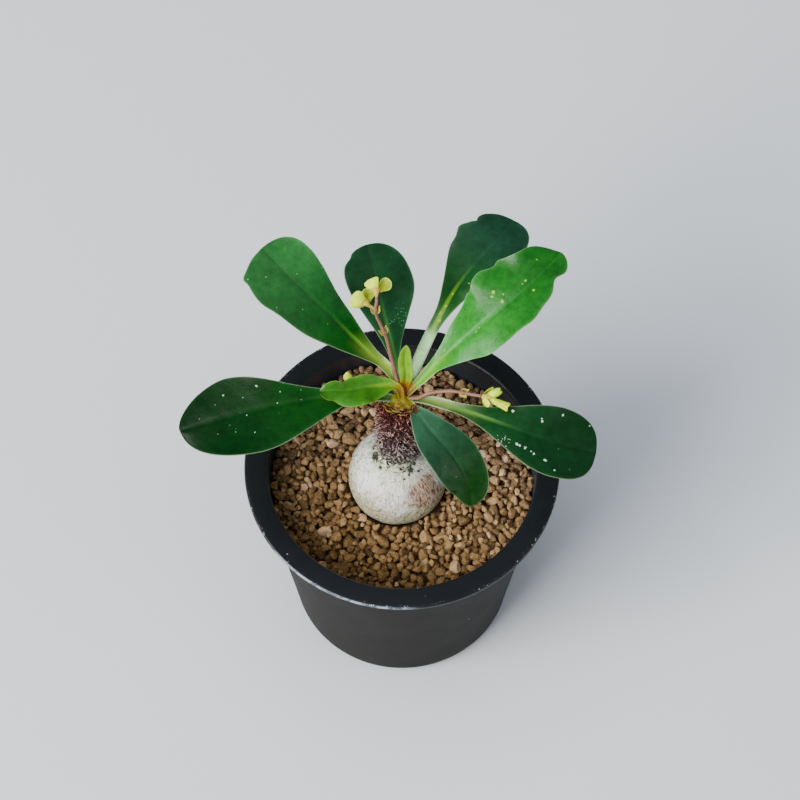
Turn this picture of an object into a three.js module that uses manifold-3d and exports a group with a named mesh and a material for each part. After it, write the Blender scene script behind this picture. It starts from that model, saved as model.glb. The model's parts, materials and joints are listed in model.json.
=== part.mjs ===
// A potted euphorbia: a black pot of tan granular soil, and in it a round pale caudex with a short
// bristly stem, nine spatulate leaves and three flower stalks.
// Millimetres, +Z up. The origin is on the pot's axis, in the plane that the pot stands on.

import * as THREE from 'three';
import * as BufferGeometryUtils from 'three/addons/utils/BufferGeometryUtils.js';
import Module from 'manifold-3d';

const wasm = await Module();
wasm.setup();

// Driving dimensions

const seatGap = 0.3; // clearance between pieces that rest on each other

const pot = {
	height: 82.5,
	lipRadius: 49.8, // outside of the lip, whose outer face slopes back to the wall
	mouthRadius: 42.5, // inside of the lip
	lipDepth: 5.8, // from the top of the lip to its underside
	lipFoot: 2.3, // how far the lip's underside stands out from the wall
	lipEdge: 0.8, // rounding of the lip's outer edge
	mouthEdge: 1.2, // rounding of its inner edge
	innerCorner: 4,
	wallTopRadius: 44.5, // outside of the wall, under the lip
	baseRadius: 35,
	cornerRadius: 5.5,
	wall: 2,
	floor: 4,
	drainHole: { count: 6, radius: 1.9, ring: 18 },
	drainGroove: { count: 3, width: 3.6, depth: 1.2, from: 13 },
	segments: 40,
};

const screen = { radius: 25, thickness: 0.8, hole: 2.2, pitch: 7, segments: 28 };

const soil = {
	level: 70.5,
	granule: 6, // pitch of the granules
	joint: 1.7, // depth of the joints between them
	lift: 1.2, // how far a granule may stand over the level
	bank: { rise: 3.5, azimuth: 115 }, // the bed is higher towards the wall on this side
	topShare: 0.7, // a granule's top against its cell
	jitter: 0.62, // how far the granules lie off their lattice
	tilt: 0.35, // steepest slope of a granule's top
	corner: 4, // rounding of the bed's lower edge
	seed: 11,
};

const caudex = {
	centre: new THREE.Vector3( - 1.4, 0.3, 74.5 ),
	radius: 15.8,
	taprootTip: 34,
	segments: 24,
};

const stem = {
	foot: new THREE.Vector3( - 1.4, 0.3, 88.5 ), // on the axis, inside the caudex's top
	apex: new THREE.Vector3( - 0.3, 8.9, 112.3 ), // top of the growing point
	footRadius: 3,
	coreRadius: 5.5,
	crownRadius: 5.4,
	crownHeight: 5,
	crownDrops: [ 3.4, 2, 0.9, 0.25 ], // the crown's rings, below the apex
	bristle: 1.8,
	upward: 0.35, // how much a bristle points up
	stray: 0.8, // how far its tip strays sideways
	bristleEnd: 5.6, // drop below the apex at which the bristles end
	bristleRows: 21,
	around: 36,
	lead: 1.6, // how far a leaf or stalk leaves square to the crown
};

const rosette = new THREE.Vector3( 0.3, 9, 112.5 ); // leaves, stalks and flowers are measured from here

const blade = {
	thickness: 0.8,
	least: 0.65, // no point of a leaf is thinner
	rib: 0.9, // how far the midrib stands out below
	ribHalf: 0.9,
	groove: 0.3, // depth of the channel over the midrib
	petioleDepth: 1.9,
	petioleSteps: 5,
	steps: 14,
	tipEnd: 0.97, // the last station, as a share of the blade
	crease: 0.58, // where each half has its middle row of points
};

// Each leaf is seated on the crown at an azimuth and a drop below the apex. Its spine then passes
// through points measured from the rosette's middle. Pairs of values are for the left and right half
// of the blade, seen from the base with the upper face up: half width, where along the blade it is
// widest, how the base tapers, and how square the tip is. Petiole is the petiole's share of the
// length, and stalk its width. A bump is a side, a place, a height and a spread.
const leaves = {
	leaf_left: {
		azimuth: 190, drop: 4,
		spine: [
			[ - 13, - 1.5, 2.5 ], [ - 25, - 3.2, 4 ], [ - 37.5, - 4.8, 3 ],
			[ - 51.5, - 6.9, 0 ], [ - 69, - 10, - 5 ],
		],
		petiole: 0.2, stalk: 3.8,
		half: [ 14.2, 11.8 ], widest: [ 0.58, 0.7 ], taper: [ 1.25, 1.95 ], tip: [ 1.9, 1.7 ],
		face: [ [ 0, - 0.15, 1 ], [ 0.1, - 0.2, 1 ] ],
		fold: 5, wave: 0.9, waves: 1.6, phase: [ 0.1, 0.45 ],
	},
	leaf_upper_left: {
		azimuth: 142, drop: 2.2,
		spine: [ [ - 9.5, 11, 4.5 ], [ - 21, 20.5, 11 ], [ - 32.5, 30, 17 ], [ - 43.5, 41, 20 ] ],
		petiole: 0.2, stalk: 3.8,
		half: [ 15.2, 10.9 ], widest: [ 0.76, 0.8 ], taper: [ 1.25, 1.5 ], tip: [ 1.9, 2.8 ],
		face: [ [ 0.1, 0, 1 ], [ 0.25, 0.1, 1 ] ],
		fold: 5, wave: 1.2, waves: 1.4, phase: [ 0.3, 0.1 ],
		bumps: [ [ - 1, 0.72, 0.9, 0.06 ], [ - 1, 0.9, 1.6, 0.035 ] ],
	},
	leaf_back: {
		azimuth: 100, drop: 2.2,
		spine: [
			[ - 1.5, 7, 6 ], [ - 4, 12, 14 ], [ - 6, 18, 20 ],
			[ - 8.5, 27, 29 ], [ - 11, 33.5, 34 ],
		],
		petiole: 0.2, stalk: 2.6,
		half: [ 9.9, 10.7 ], widest: [ 0.8, 0.68 ], taper: [ 1.8, 1.5 ], tip: [ 2.1, 2.1 ],
		face: [ [ 0, 0, 1 ], [ 0, 0, 1 ] ],
		fold: 7, wave: 0.8, waves: 1.5, phase: [ 0.2, 0.5 ],
		bumps: [ [ 1, 0.62, 0.3, 0.08 ] ],
	},
	leaf_back_right: {
		azimuth: 62, drop: 2.2,
		spine: [
			[ 4.5, 10.5, 3 ], [ 10.5, 21, 8 ], [ 16, 30.5, 12 ],
			[ 23, 38.5, 16 ], [ 30, 46, 18 ], [ 34.5, 52, 14.5 ],
		],
		petiole: 0.33, stalk: 3.6,
		half: [ 10.2, 9.6 ], widest: [ 0.58, 0.7 ], taper: [ 2.5, 1.7 ], tip: [ 2.3, 2.4 ],
		face: [ [ - 0.1, 0, 1 ], [ 0, 0, 1 ] ],
		fold: 6, wave: 0.9, waves: 1.6, phase: [ 0, 0.4 ],
		bumps: [ [ - 1, 0.7, 1.4, 0.06 ] ],
	},
	leaf_right_upper: {
		azimuth: 24, drop: 2.2,
		spine: [ [ 9, 6, 5.5 ], [ 17, 10, 14 ], [ 26.5, 14.5, 22.5 ], [ 38, 22, 29 ], [ 48.5, 32.5, 31 ] ],
		petiole: 0.18, stalk: 4,
		half: [ 12.8, 10.1 ], widest: [ 0.55, 0.54 ], taper: [ 1.5, 1.25 ], tip: [ 2, 2.1 ],
		face: [ [ 0, 0, 1 ], [ 0, 0, 1 ] ],
		fold: 3, wave: 1.6, waves: 3, phase: [ 0.75, 0.3 ],
		bumps: [
			[ - 1, 0.45, - 1.2, 0.03 ], [ - 1, 0.56, 0.8, 0.05 ], [ - 1, 0.7, 1, 0.04 ],
			[ - 1, 0.82, - 0.4, 0.04 ], [ - 1, 0.94, 1.2, 0.05 ],
			[ 1, 0.33, 0.5, 0.06 ], [ 1, 0.64, 1, 0.06 ], [ 1, 0.84, - 2.4, 0.05 ],
		],
	},
	leaf_right: {
		azimuth: - 20, drop: 4,
		spine: [
			[ 11.5, - 3.5, 2 ], [ 20.5, - 7.5, 3 ], [ 31, - 12, 3 ],
			[ 45, - 16, 0 ], [ 59.5, - 17.5, - 5 ],
		],
		petiole: 0.25, stalk: 3.4,
		half: [ 11.2, 11.6 ], widest: [ 0.75, 0.72 ], taper: [ 1.6, 1.8 ], tip: [ 2.4, 2.3 ],
		face: [ [ 0, - 0.1, 1 ], [ 0, - 0.2, 1 ] ],
		fold: 5, wave: 0.9, waves: 1.5, phase: [ 0.4, 0.1 ],
	},
	leaf_front: {
		azimuth: - 68, drop: 3.6,
		spine: [
			[ 4.5, - 5.5, - 1.5 ], [ 9.5, - 11.5, - 4 ], [ 16.5, - 18, - 9 ],
			[ 20.5, - 23.5, - 15 ], [ 21.5, - 28, - 21 ],
		],
		petiole: 0.1, stalk: 3.1,
		half: [ 7.7, 8.6 ], widest: [ 0.55, 0.5 ], taper: [ 1.1, 1.15 ], tip: [ 1.9, 1.8 ],
		face: [ [ 0, 0, 1 ], [ 0, 0, 1 ] ],
		fold: 4, wave: 0.7, waves: 1.4, phase: [ 0.2, 0.6 ],
	},
	leaf_small: {
		young: true,
		azimuth: 202, drop: 1.6,
		spine: [
			[ - 5.5, - 0.4, 3.6 ], [ - 10, - 2.5, 6 ], [ - 16, - 4, 7.5 ],
			[ - 21, - 5, 8 ], [ - 26, - 4.5, 8 ],
		],
		petiole: 0.1, stalk: 3,
		half: [ 5.3, 5 ], widest: [ 0.45, 0.5 ], taper: [ 1.2, 1.2 ], tip: [ 2, 1.8 ],
		face: [ [ 0, - 0.3, 1 ], [ 0, - 0.3, 1 ] ],
		fold: 10, wave: 0.9, waves: 2, phase: [ 0.3, 0.6 ],
		bumps: [ [ - 1, 0.8, - 1.2, 0.08 ], [ 1, 0.7, - 0.8, 0.08 ] ],
	},
	leaf_tiny: {
		young: true,
		azimuth: 40, drop: 0.6,
		spine: [ [ 1, 3.4, 6 ], [ 0.6, 6, 11 ], [ 1, 8, 16 ] ],
		petiole: 0.05, stalk: 2,
		half: [ 2.1, 2.1 ], widest: [ 0.6, 0.6 ], taper: [ 1.2, 1.2 ], tip: [ 2, 2 ],
		face: [ [ 0, - 1, 0.6 ], [ 0, - 1, 0.4 ] ],
		fold: 12, wave: 0, waves: 1, phase: [ 0, 0 ], steps: 8,
		thickness: 0.7, rib: 0.3, petioleDepth: 1.1,
	},
};

// Flower stalks: seated as the leaves are, with the nodes where pairs of small bracts sit
const stalks = {
	flower_stalk_upper: {
		azimuth: 134, drop: 0.7, radius: 0.75,
		spine: [
			[ - 1.9, 3, 4 ], [ - 3.3, 6, 12 ], [ - 5, 9.5, 18 ], [ - 6.5, 11.5, 22 ],
			[ - 8, 13, 26 ], [ - 8.4, 14, 28.5 ], [ - 8, 15.2, 31 ], [ - 8, 16.7, 33.1 ],
		],
		nodes: [ 0.62, 0.84 ],
		branch: [ [ - 8.3, 13.9, 28 ], [ - 9.3, 14.5, 28.7 ], [ - 10.2, 14.9, 29.1 ] ],
	},
	flower_stalk_right: {
		azimuth: - 5, drop: 0.8, radius: 0.75,
		spine: [
			[ 6, - 1.6, 3.2 ], [ 10, - 2, 5.3 ], [ 14, - 2.6, 6.6 ],
			[ 18, - 3.3, 7.4 ], [ 21, - 3.9, 7.6 ], [ 24, - 4.5, 7.3 ],
		],
		nodes: [ 0.76 ],
	},
	flower_stalk_left: {
		azimuth: 168, drop: 0.7, radius: 0.6,
		spine: [ [ - 5.5, 3.4, 1 ], [ - 10, 3, 2.2 ], [ - 13.5, 2.8, 3 ], [ - 16, 2.8, 3.8 ] ],
		nodes: [],
	},
};

const bract = { width: 1.8, length: 2.6 };

// Flower heads: where the head sits on its stalk's end, which way it faces and how its two bracts spread
const heads = {
	flower_upper_a: {
		foot: [ - 8, 16.9, 33.5 ], up: [ 0, 0.45, 1 ], across: [ 1, 0, 0.1 ],
		spread: 3.9, rise: 1.9,
	},
	flower_upper_b: {
		foot: [ - 10.6, 15.1, 29.3 ], up: [ - 0.75, 0.3, 0.7 ], across: [ 0.6, 0.9, 0.3 ],
		spread: 3.8, rise: 1.7,
	},
};

// Geometry helpers

const up = new THREE.Vector3( 0, 0, 1 );

function vector( [ x, y, z ] ) {

	return new THREE.Vector3( x, y, z );

}

function smooth( x ) {

	return THREE.MathUtils.smoothstep( x, 0, 1 );

}

// A repeatable random sequence between 0 and 1
function randomFrom( seed ) {

	let state = seed;

	return function () {

		state = ( state * 1664525 + 1013904223 ) % 4294967296;
		return state / 4294967296;

	};

}

function geometryOf( points, triangles ) {

	const geometry = new THREE.BufferGeometry();
	const values = points.flatMap( p => [ p.x, p.y, p.z ] );
	geometry.setAttribute( 'position', new THREE.Float32BufferAttribute( values, 3 ) );
	geometry.setIndex( triangles.flat() );
	return geometry;

}

function signedVolume( points, triangles ) {

	let sum = 0;
	for ( const [ a, b, c ] of triangles ) {

		sum += points[ a ].dot( new THREE.Vector3().crossVectors( points[ b ], points[ c ] ) );

	}

	return sum / 6;

}

// A closed body through a row of loops with equal numbers of points. Each end closes on a point of its
// own, by default the middle of the loop. With zigzag, every second loop is turned by half a step.
function loft( loops, { start, end, zigzag = false } = {} ) {

	const count = loops[ 0 ].length;
	const points = loops.flat();
	const triangles = [];
	const middle = loop => loop
		.reduce( ( sum, p ) => sum.add( p ), new THREE.Vector3() )
		.divideScalar( count );

	for ( let row = 0; row < loops.length - 1; row ++ ) {

		for ( let i = 0; i < count; i ++ ) {

			const next = ( i + 1 ) % count;
			const a = row * count + i;
			const b = row * count + next;
			const c = a + count;
			const d = b + count;
			const leansBack = zigzag && row % 2 === 1;
			triangles.push( ...( leansBack ? [ [ a, d, c ], [ a, b, d ] ] : [ [ a, b, c ], [ b, d, c ] ] ) );

		}

	}

	const first = points.push( start ?? middle( loops[ 0 ] ) ) - 1;
	const last = points.push( end ?? middle( loops.at( - 1 ) ) ) - 1;
	const lastRow = ( loops.length - 1 ) * count;

	for ( let i = 0; i < count; i ++ ) {

		const next = ( i + 1 ) % count;
		triangles.push( [ first, next, i ], [ last, lastRow + i, lastRow + next ] );

	}

	if ( signedVolume( points, triangles ) < 0 ) triangles.forEach( triangle => triangle.reverse() );
	return geometryOf( points, triangles );

}

// A body of revolution about Z, from a profile of radius and height that starts and ends on the axis
function turned( profile, segments ) {

	const points = profile.map( ( [ radius, z ] ) => new THREE.Vector2( radius, z ) );
	return new THREE.LatheGeometry( points, segments ).rotateX( Math.PI / 2 );

}

function solid( geometry ) {

	const bare = geometry.clone();
	bare.deleteAttribute( 'normal' );
	bare.deleteAttribute( 'uv' );
	const merged = BufferGeometryUtils.mergeVertices( bare, 1e-4 );
	return new wasm.Manifold( new wasm.Mesh( {
		numProp: 3,
		vertProperties: new Float32Array( merged.attributes.position.array ),
		triVerts: new Uint32Array( merged.index.array ),
	} ) );

}

function geometryFrom( manifold ) {

	const mesh = manifold.getMesh();
	const geometry = new THREE.BufferGeometry();
	geometry.setAttribute( 'position', new THREE.Float32BufferAttribute( mesh.vertProperties, 3 ) );
	geometry.setIndex( Array.from( mesh.triVerts ) );
	return geometry;

}

// Points on a round corner, from one angle to another in degrees
function arc( centreRadius, centreZ, radius, from, to, steps ) {

	return Array.from( { length: steps + 1 }, ( _, k ) => {

		const angle = THREE.MathUtils.degToRad( from + ( to - from ) * k / steps );
		return [ centreRadius + radius * Math.cos( angle ), centreZ + radius * Math.sin( angle ) ];

	} );

}

// Pot

const lipUnderside = pot.height - pot.lipDepth;
const soilFoot = soil.level - soil.joint; // the wall's inside is straight from here up to the mouth

function outerRadius( z ) {

	return pot.baseRadius + ( pot.wallTopRadius - pot.baseRadius ) * z / lipUnderside;

}

function innerRadius( z ) {

	return outerRadius( z ) - pot.wall;

}

function potGeometry() {

	const { height, cornerRadius, lipRadius, lipFoot, lipEdge, mouthRadius, mouthEdge, innerCorner } = pot;
	const flare = pot.wallTopRadius - pot.baseRadius;
	const slope = THREE.MathUtils.radToDeg( Math.atan( flare / lipUnderside ) );
	const floorSide = innerRadius( pot.floor ) - innerCorner;
	const body = turned( [
		[ 0, 0 ],
		...arc( outerRadius( cornerRadius ) - cornerRadius, cornerRadius, cornerRadius, - 90, - slope, 3 ),
		[ outerRadius( lipUnderside / 2 ), lipUnderside / 2 ],
		[ pot.wallTopRadius, lipUnderside ],
		[ pot.wallTopRadius + lipFoot, lipUnderside + lipFoot / 2 ],
		...arc( lipRadius - lipEdge, height - lipEdge, lipEdge, - 30, 90, 3 ),
		...arc( mouthRadius + mouthEdge, height - mouthEdge, mouthEdge, 90, 180, 2 ),
		[ innerRadius( soilFoot ), soilFoot ],
		...arc( floorSide, pot.floor + innerCorner, innerCorner, - slope, - 90, 2 ),
		[ 0, pot.floor ],
	], pot.segments );

	let shape = solid( body );

	for ( let k = 0; k < pot.drainHole.count; k ++ ) {

		const { count, radius, ring } = pot.drainHole;
		const angle = 2 * Math.PI * ( k + 0.5 ) / count;
		const hole = new THREE.CylinderGeometry( radius, radius, pot.floor * 3, 12 );
		hole.rotateX( Math.PI / 2 );
		hole.translate( ring * Math.cos( angle ), ring * Math.sin( angle ), 0 );
		shape = shape.subtract( solid( hole ) );

	}

	for ( let k = 0; k < pot.drainGroove.count; k ++ ) {

		const length = pot.baseRadius;
		const groove = new THREE.BoxGeometry( length, pot.drainGroove.width, 2 * pot.drainGroove.depth );
		groove.translate( pot.drainGroove.from + length / 2, 0, 0 );
		groove.rotateZ( 2 * Math.PI * k / pot.drainGroove.count + Math.PI / 2 );
		shape = shape.subtract( solid( groove ) );

	}

	return geometryFrom( shape );

}

// Drain screen: a thin disc with a grid of square holes, lying on the pot's floor

function screenGeometry() {

	const { radius, thickness, hole, pitch, segments } = screen;
	const profile = [ [ 0, 0 ], [ radius, 0 ], [ radius, thickness ], [ 0, thickness ] ];
	let shape = solid( turned( profile, segments ) );
	const reach = radius - pitch / 2 - hole;
	const steps = Math.floor( reach / pitch );

	for ( let i = - steps; i <= steps; i ++ ) {

		for ( let j = - steps; j <= steps; j ++ ) {

			if ( Math.hypot( i, j ) * pitch > reach ) continue;
			const opening = new THREE.BoxGeometry( hole, hole, 4 * thickness );
			shape = shape.subtract( solid( opening.translate( i * pitch, j * pitch, 0 ) ) );

		}

	}

	return geometryFrom( shape );

}

// Caudex: a globe that narrows below the soil into its taproot

function caudexProfile( clearance ) {

	const { centre, radius, taprootTip } = caudex;
	const r = radius + clearance;
	const globe = arc( 0, centre.z, r, 90, - 42, 11 );
	globe[ 0 ][ 0 ] = 0;
	const [ lastRadius, lastZ ] = globe.at( - 1 );
	const root = [ 0.3, 0.6, 0.85 ].map( k => [
		lastRadius * ( 1 - k ) ** 1.4 + 1.5 * clearance,
		THREE.MathUtils.lerp( lastZ, taprootTip, k ),
	] );
	return [ ...globe, ...root, [ 0, taprootTip - 5 * clearance ] ].reverse();

}

function caudexGeometry() {

	return turned( caudexProfile( 0 ), caudex.segments ).translate( caudex.centre.x, caudex.centre.y, 0 );

}

// Soil: a bed that fills the pot, with a top of angular granules and a plain hole for the caudex

function bedLevel( p ) {

	const angle = THREE.MathUtils.degToRad( soil.bank.azimuth );
	const towards = ( p.x * Math.cos( angle ) + p.y * Math.sin( angle ) ) / pot.mouthRadius;
	return soil.level + soil.bank.rise * Math.max( 0, towards ) ** 2;

}

// Each granule is a cell of a jittered hexagonal lattice: a tilted flat top whose sides slope down to the
// joints. The cells' corners are where three neighbours meet. The patch reaches past the pot's wall.
function granulePatch() {

	const random = randomFrom( soil.seed );
	const steps = [ [ 1, 0 ], [ 0, 1 ], [ - 1, 1 ], [ - 1, 0 ], [ 0, - 1 ], [ 1, - 1 ] ];
	const reach = Math.ceil( 1.3 * pot.mouthRadius / soil.granule ) + 2;
	const rowPitch = soil.granule * Math.sqrt( 3 ) / 2;
	const centres = new Map();
	const key = ( i, j ) => `${ i },${ j }`;

	for ( let j = - reach; j <= reach; j ++ ) {

		for ( let i = - 2 * reach; i <= 2 * reach; i ++ ) {

			const centre = new THREE.Vector3( ( i + j / 2 ) * soil.granule, j * rowPitch, 0 );
			if ( centre.length() > pot.mouthRadius + 2 * soil.granule ) continue;
			centre.x += ( random() - 0.5 ) * soil.jitter * soil.granule;
			centre.y += ( random() - 0.5 ) * soil.jitter * soil.granule;
			centres.set( key( i, j ), { i, j, centre } );

		}

	}

	const points = [];
	const triangles = [];
	const corners = new Map();
	const bottomOffset = new Map();

	const cornerOf = keys => {

		const name = keys.slice().sort().join( ' ' );
		if ( ! corners.has( name ) ) {

			const middle = new THREE.Vector3();
			keys.forEach( k => middle.add( centres.get( k ).centre ) );
			middle.divideScalar( 3 );
			const top = points.push( middle.clone().setZ( bedLevel( middle ) - soil.joint ) ) - 1;
			const bottom = points.push( middle.setZ( 0 ) ) - 1;
			corners.set( name, top );
			bottomOffset.set( top, bottom );

		}

		return corners.get( name );

	};

	const rimEdges = new Map();

	for ( const { i, j, centre } of centres.values() ) {

		const around = steps.map( ( [ di, dj ] ) => key( i + di, j + dj ) );
		if ( ! around.every( k => centres.has( k ) ) ) continue;

		const ring = around.map( ( k, n ) => cornerOf( [ key( i, j ), k, around[ ( n + 1 ) % 6 ] ] ) );
		const height = bedLevel( centre ) + random() * soil.lift;
		const tiltX = ( random() - 0.5 ) * 2 * soil.tilt;
		const tiltY = ( random() - 0.5 ) * 2 * soil.tilt;
		const top = ring.map( corner => {

			const p = points[ corner ].clone().setZ( 0 ).lerp( centre, 1 - soil.topShare );
			p.z = height + ( p.x - centre.x ) * tiltX + ( p.y - centre.y ) * tiltY;
			return points.push( p ) - 1;

		} );

		ring.forEach( ( corner, n ) => {

			const m = ( n + 1 ) % 6;
			triangles.push( [ corner, ring[ m ], top[ m ] ], [ corner, top[ m ], top[ n ] ] );
			const back = `${ ring[ m ] } ${ corner }`;
			if ( rimEdges.has( back ) ) rimEdges.delete( back );
			else rimEdges.set( `${ corner } ${ ring[ m ] }`, [ corner, ring[ m ] ] );

		} );

		for ( let n = 1; n < 5; n ++ ) {

			triangles.push( [ top[ 0 ], top[ n ], top[ n + 1 ] ] );
			triangles.push( [ ring[ 0 ], ring[ n + 1 ], ring[ n ] ].map( c => bottomOffset.get( c ) ) );

		}

	}

	for ( const [ a, b ] of rimEdges.values() ) {

		const belowA = bottomOffset.get( a );
		const belowB = bottomOffset.get( b );
		triangles.push( [ a, belowA, belowB ], [ a, belowB, b ] );

	}

	return geometryOf( points, triangles );

}

function soilGeometry() {

	const bottom = pot.floor + seatGap;
	const overScreen = bottom + screen.thickness + seatGap;
	const wallAt = z => innerRadius( z ) - 1.1 * seatGap;
	const bed = turned( [
		[ 0, overScreen ],
		[ screen.radius + 2 * seatGap, overScreen ],
		[ screen.radius + 2 * seatGap, bottom ],
		...arc( wallAt( bottom ) - soil.corner, bottom + soil.corner, soil.corner, - 90, - 8, 2 ),
		[ wallAt( soilFoot ), soilFoot ],
		[ wallAt( soilFoot ), pot.height ],
		[ 0, pot.height ],
	], pot.segments );

	const hole = turned( caudexProfile( seatGap ), caudex.segments );
	hole.translate( caudex.centre.x, caudex.centre.y, 0 );
	return geometryFrom( solid( bed ).intersect( solid( granulePatch() ) ).subtract( solid( hole ) ) );

}

// Stem: a short leaning column, covered with bristles up to its crown, where the leaves are seated

const stemAxis = stem.apex.clone().sub( stem.foot );
const stemLength = stemAxis.length();
stemAxis.normalize();
const stemSide = new THREE.Vector3( 1, 0, 0 ).projectOnPlane( stemAxis ).normalize();
const stemBack = new THREE.Vector3().crossVectors( stemAxis, stemSide );

// A point at a height along the stem's axis, an angle round it and a distance from it
function roundStem( height, angle, distance ) {

	return stem.foot.clone()
		.addScaledVector( stemAxis, height )
		.addScaledVector( stemSide, distance * Math.cos( angle ) )
		.addScaledVector( stemBack, distance * Math.sin( angle ) );

}

function crownRadiusAt( drop ) {

	const x = Math.max( 0, 1 - drop / stem.crownHeight );
	return stem.crownRadius * Math.sqrt( 1 - x * x );

}

// The height along the axis at which a line beside it leaves the caudex's globe, plus the seat's gap
function heightOnCaudex( angle, distance ) {

	const reach = caudex.radius + seatGap;
	const beside = roundStem( 0, angle, distance ).sub( caudex.centre );
	const along = beside.dot( stemAxis );
	return - along + Math.sqrt( along * along - beside.lengthSq() + reach * reach );

}

function stemGeometry() {

	const random = randomFrom( 5 );
	const loops = [];

	// The points of every second ring are turned by half a step
	const addRing = pointAt => {

		const offset = ( loops.length % 2 ) / 2;
		loops.push( Array.from( { length: stem.around }, ( _, i ) => {

			return pointAt( 2 * Math.PI * ( i + offset ) / stem.around, i );

		} ) );

	};

	// Every third point of the staggered rings is a bristle's tip, so no two tips are neighbours
	const isTip = ( row, i ) => {

		const inside = row > 0 && row < stem.bristleRows;
		const column = i - Math.floor( loops.length / 2 );
		return inside && THREE.MathUtils.euclideanModulo( column - loops.length, 3 ) === 0;

	};

	addRing( angle => roundStem( heightOnCaudex( angle, stem.footRadius ), angle, stem.footRadius ) );

	for ( let row = 0; row <= stem.bristleRows; row ++ ) {

		const share = row / stem.bristleRows;
		const radius = THREE.MathUtils.lerp( stem.coreRadius, stem.crownRadius, share );
		const highest = stemLength - stem.bristleEnd;

		addRing( ( angle, i ) => {

			const height = THREE.MathUtils.lerp( heightOnCaudex( angle, stem.coreRadius ), highest, share );
			if ( ! isTip( row, i ) ) return roundStem( height, angle, radius );
			const length = stem.bristle * ( 0.7 + 0.6 * random() );
			const aside = stem.stray * ( random() - 0.5 ) / radius;
			return roundStem( height + stem.upward * length, angle + aside, radius + length );

		} );

	}

	for ( const drop of stem.crownDrops ) {

		addRing( angle => roundStem( stemLength - drop, angle, crownRadiusAt( drop ) ) );

	}

	return loft( loops, {
		start: roundStem( heightOnCaudex( 0, 0 ), 0, 0 ),
		end: stem.apex.clone(),
		zigzag: true,
	} );

}

// Where a leaf or a stalk meets the crown: its end and the point towards which it leaves
function seatOnCrown( { azimuth, drop } ) {

	const angle = THREE.MathUtils.degToRad( azimuth );
	const radius = crownRadiusAt( drop );
	const outward = new THREE.Vector3()
		.addScaledVector( stemSide, Math.cos( angle ) )
		.addScaledVector( stemBack, Math.sin( angle ) );
	const normal = outward.multiplyScalar( radius / stem.crownRadius ** 2 )
		.addScaledVector( stemAxis, Math.max( 0, 1 - drop / stem.crownHeight ) / stem.crownHeight )
		.normalize();
	const seat = roundStem( stemLength - drop, angle, radius ).addScaledVector( normal, seatGap + 0.05 );
	return [ seat, seat.clone().addScaledVector( normal, stem.lead ) ];

}

// A smooth curve through points measured from the rosette's middle
function curveThrough( points ) {

	return new THREE.CatmullRomCurve3( points.map( p => vector( p ).add( rosette ) ) );

}

function spineOf( piece ) {

	const free = piece.spine.map( p => vector( p ).add( rosette ) );
	return new THREE.CatmullRomCurve3( [ ...seatOnCrown( piece ), ...free ], false, 'centripetal' );

}

// Leaves: a channelled petiole that widens into a blade with a rib below and waved edges

function halfWidth( leaf, along, side ) {

	const k = side > 0 ? 1 : 0;
	const stalk = leaf.stalk / 2 * ( 0.55 + 0.45 * smooth( along / 0.2 ) );
	if ( along <= leaf.petiole ) return stalk;

	const q = ( along - leaf.petiole ) / ( 1 - leaf.petiole );
	const widest = leaf.widest[ k ];
	const power = leaf.tip[ k ];
	const outline = q < widest
		? Math.sin( Math.PI / 2 * ( q / widest ) ** leaf.taper[ k ] )
		: ( 1 - ( ( q - widest ) / ( 1 - widest ) ) ** power ) ** ( 1 / power );
	let width = leaf.half[ k ] * outline + stalk * ( 1 - smooth( q / widest ) );

	for ( const [ where, place, height, spread ] of leaf.bumps ?? [] ) {

		if ( where !== side ) continue;
		width += height * Math.exp( - ( ( ( q - place ) / spread ) ** 2 ) ) * Math.min( 1, 1.5 * outline );

	}

	return width;

}

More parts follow.
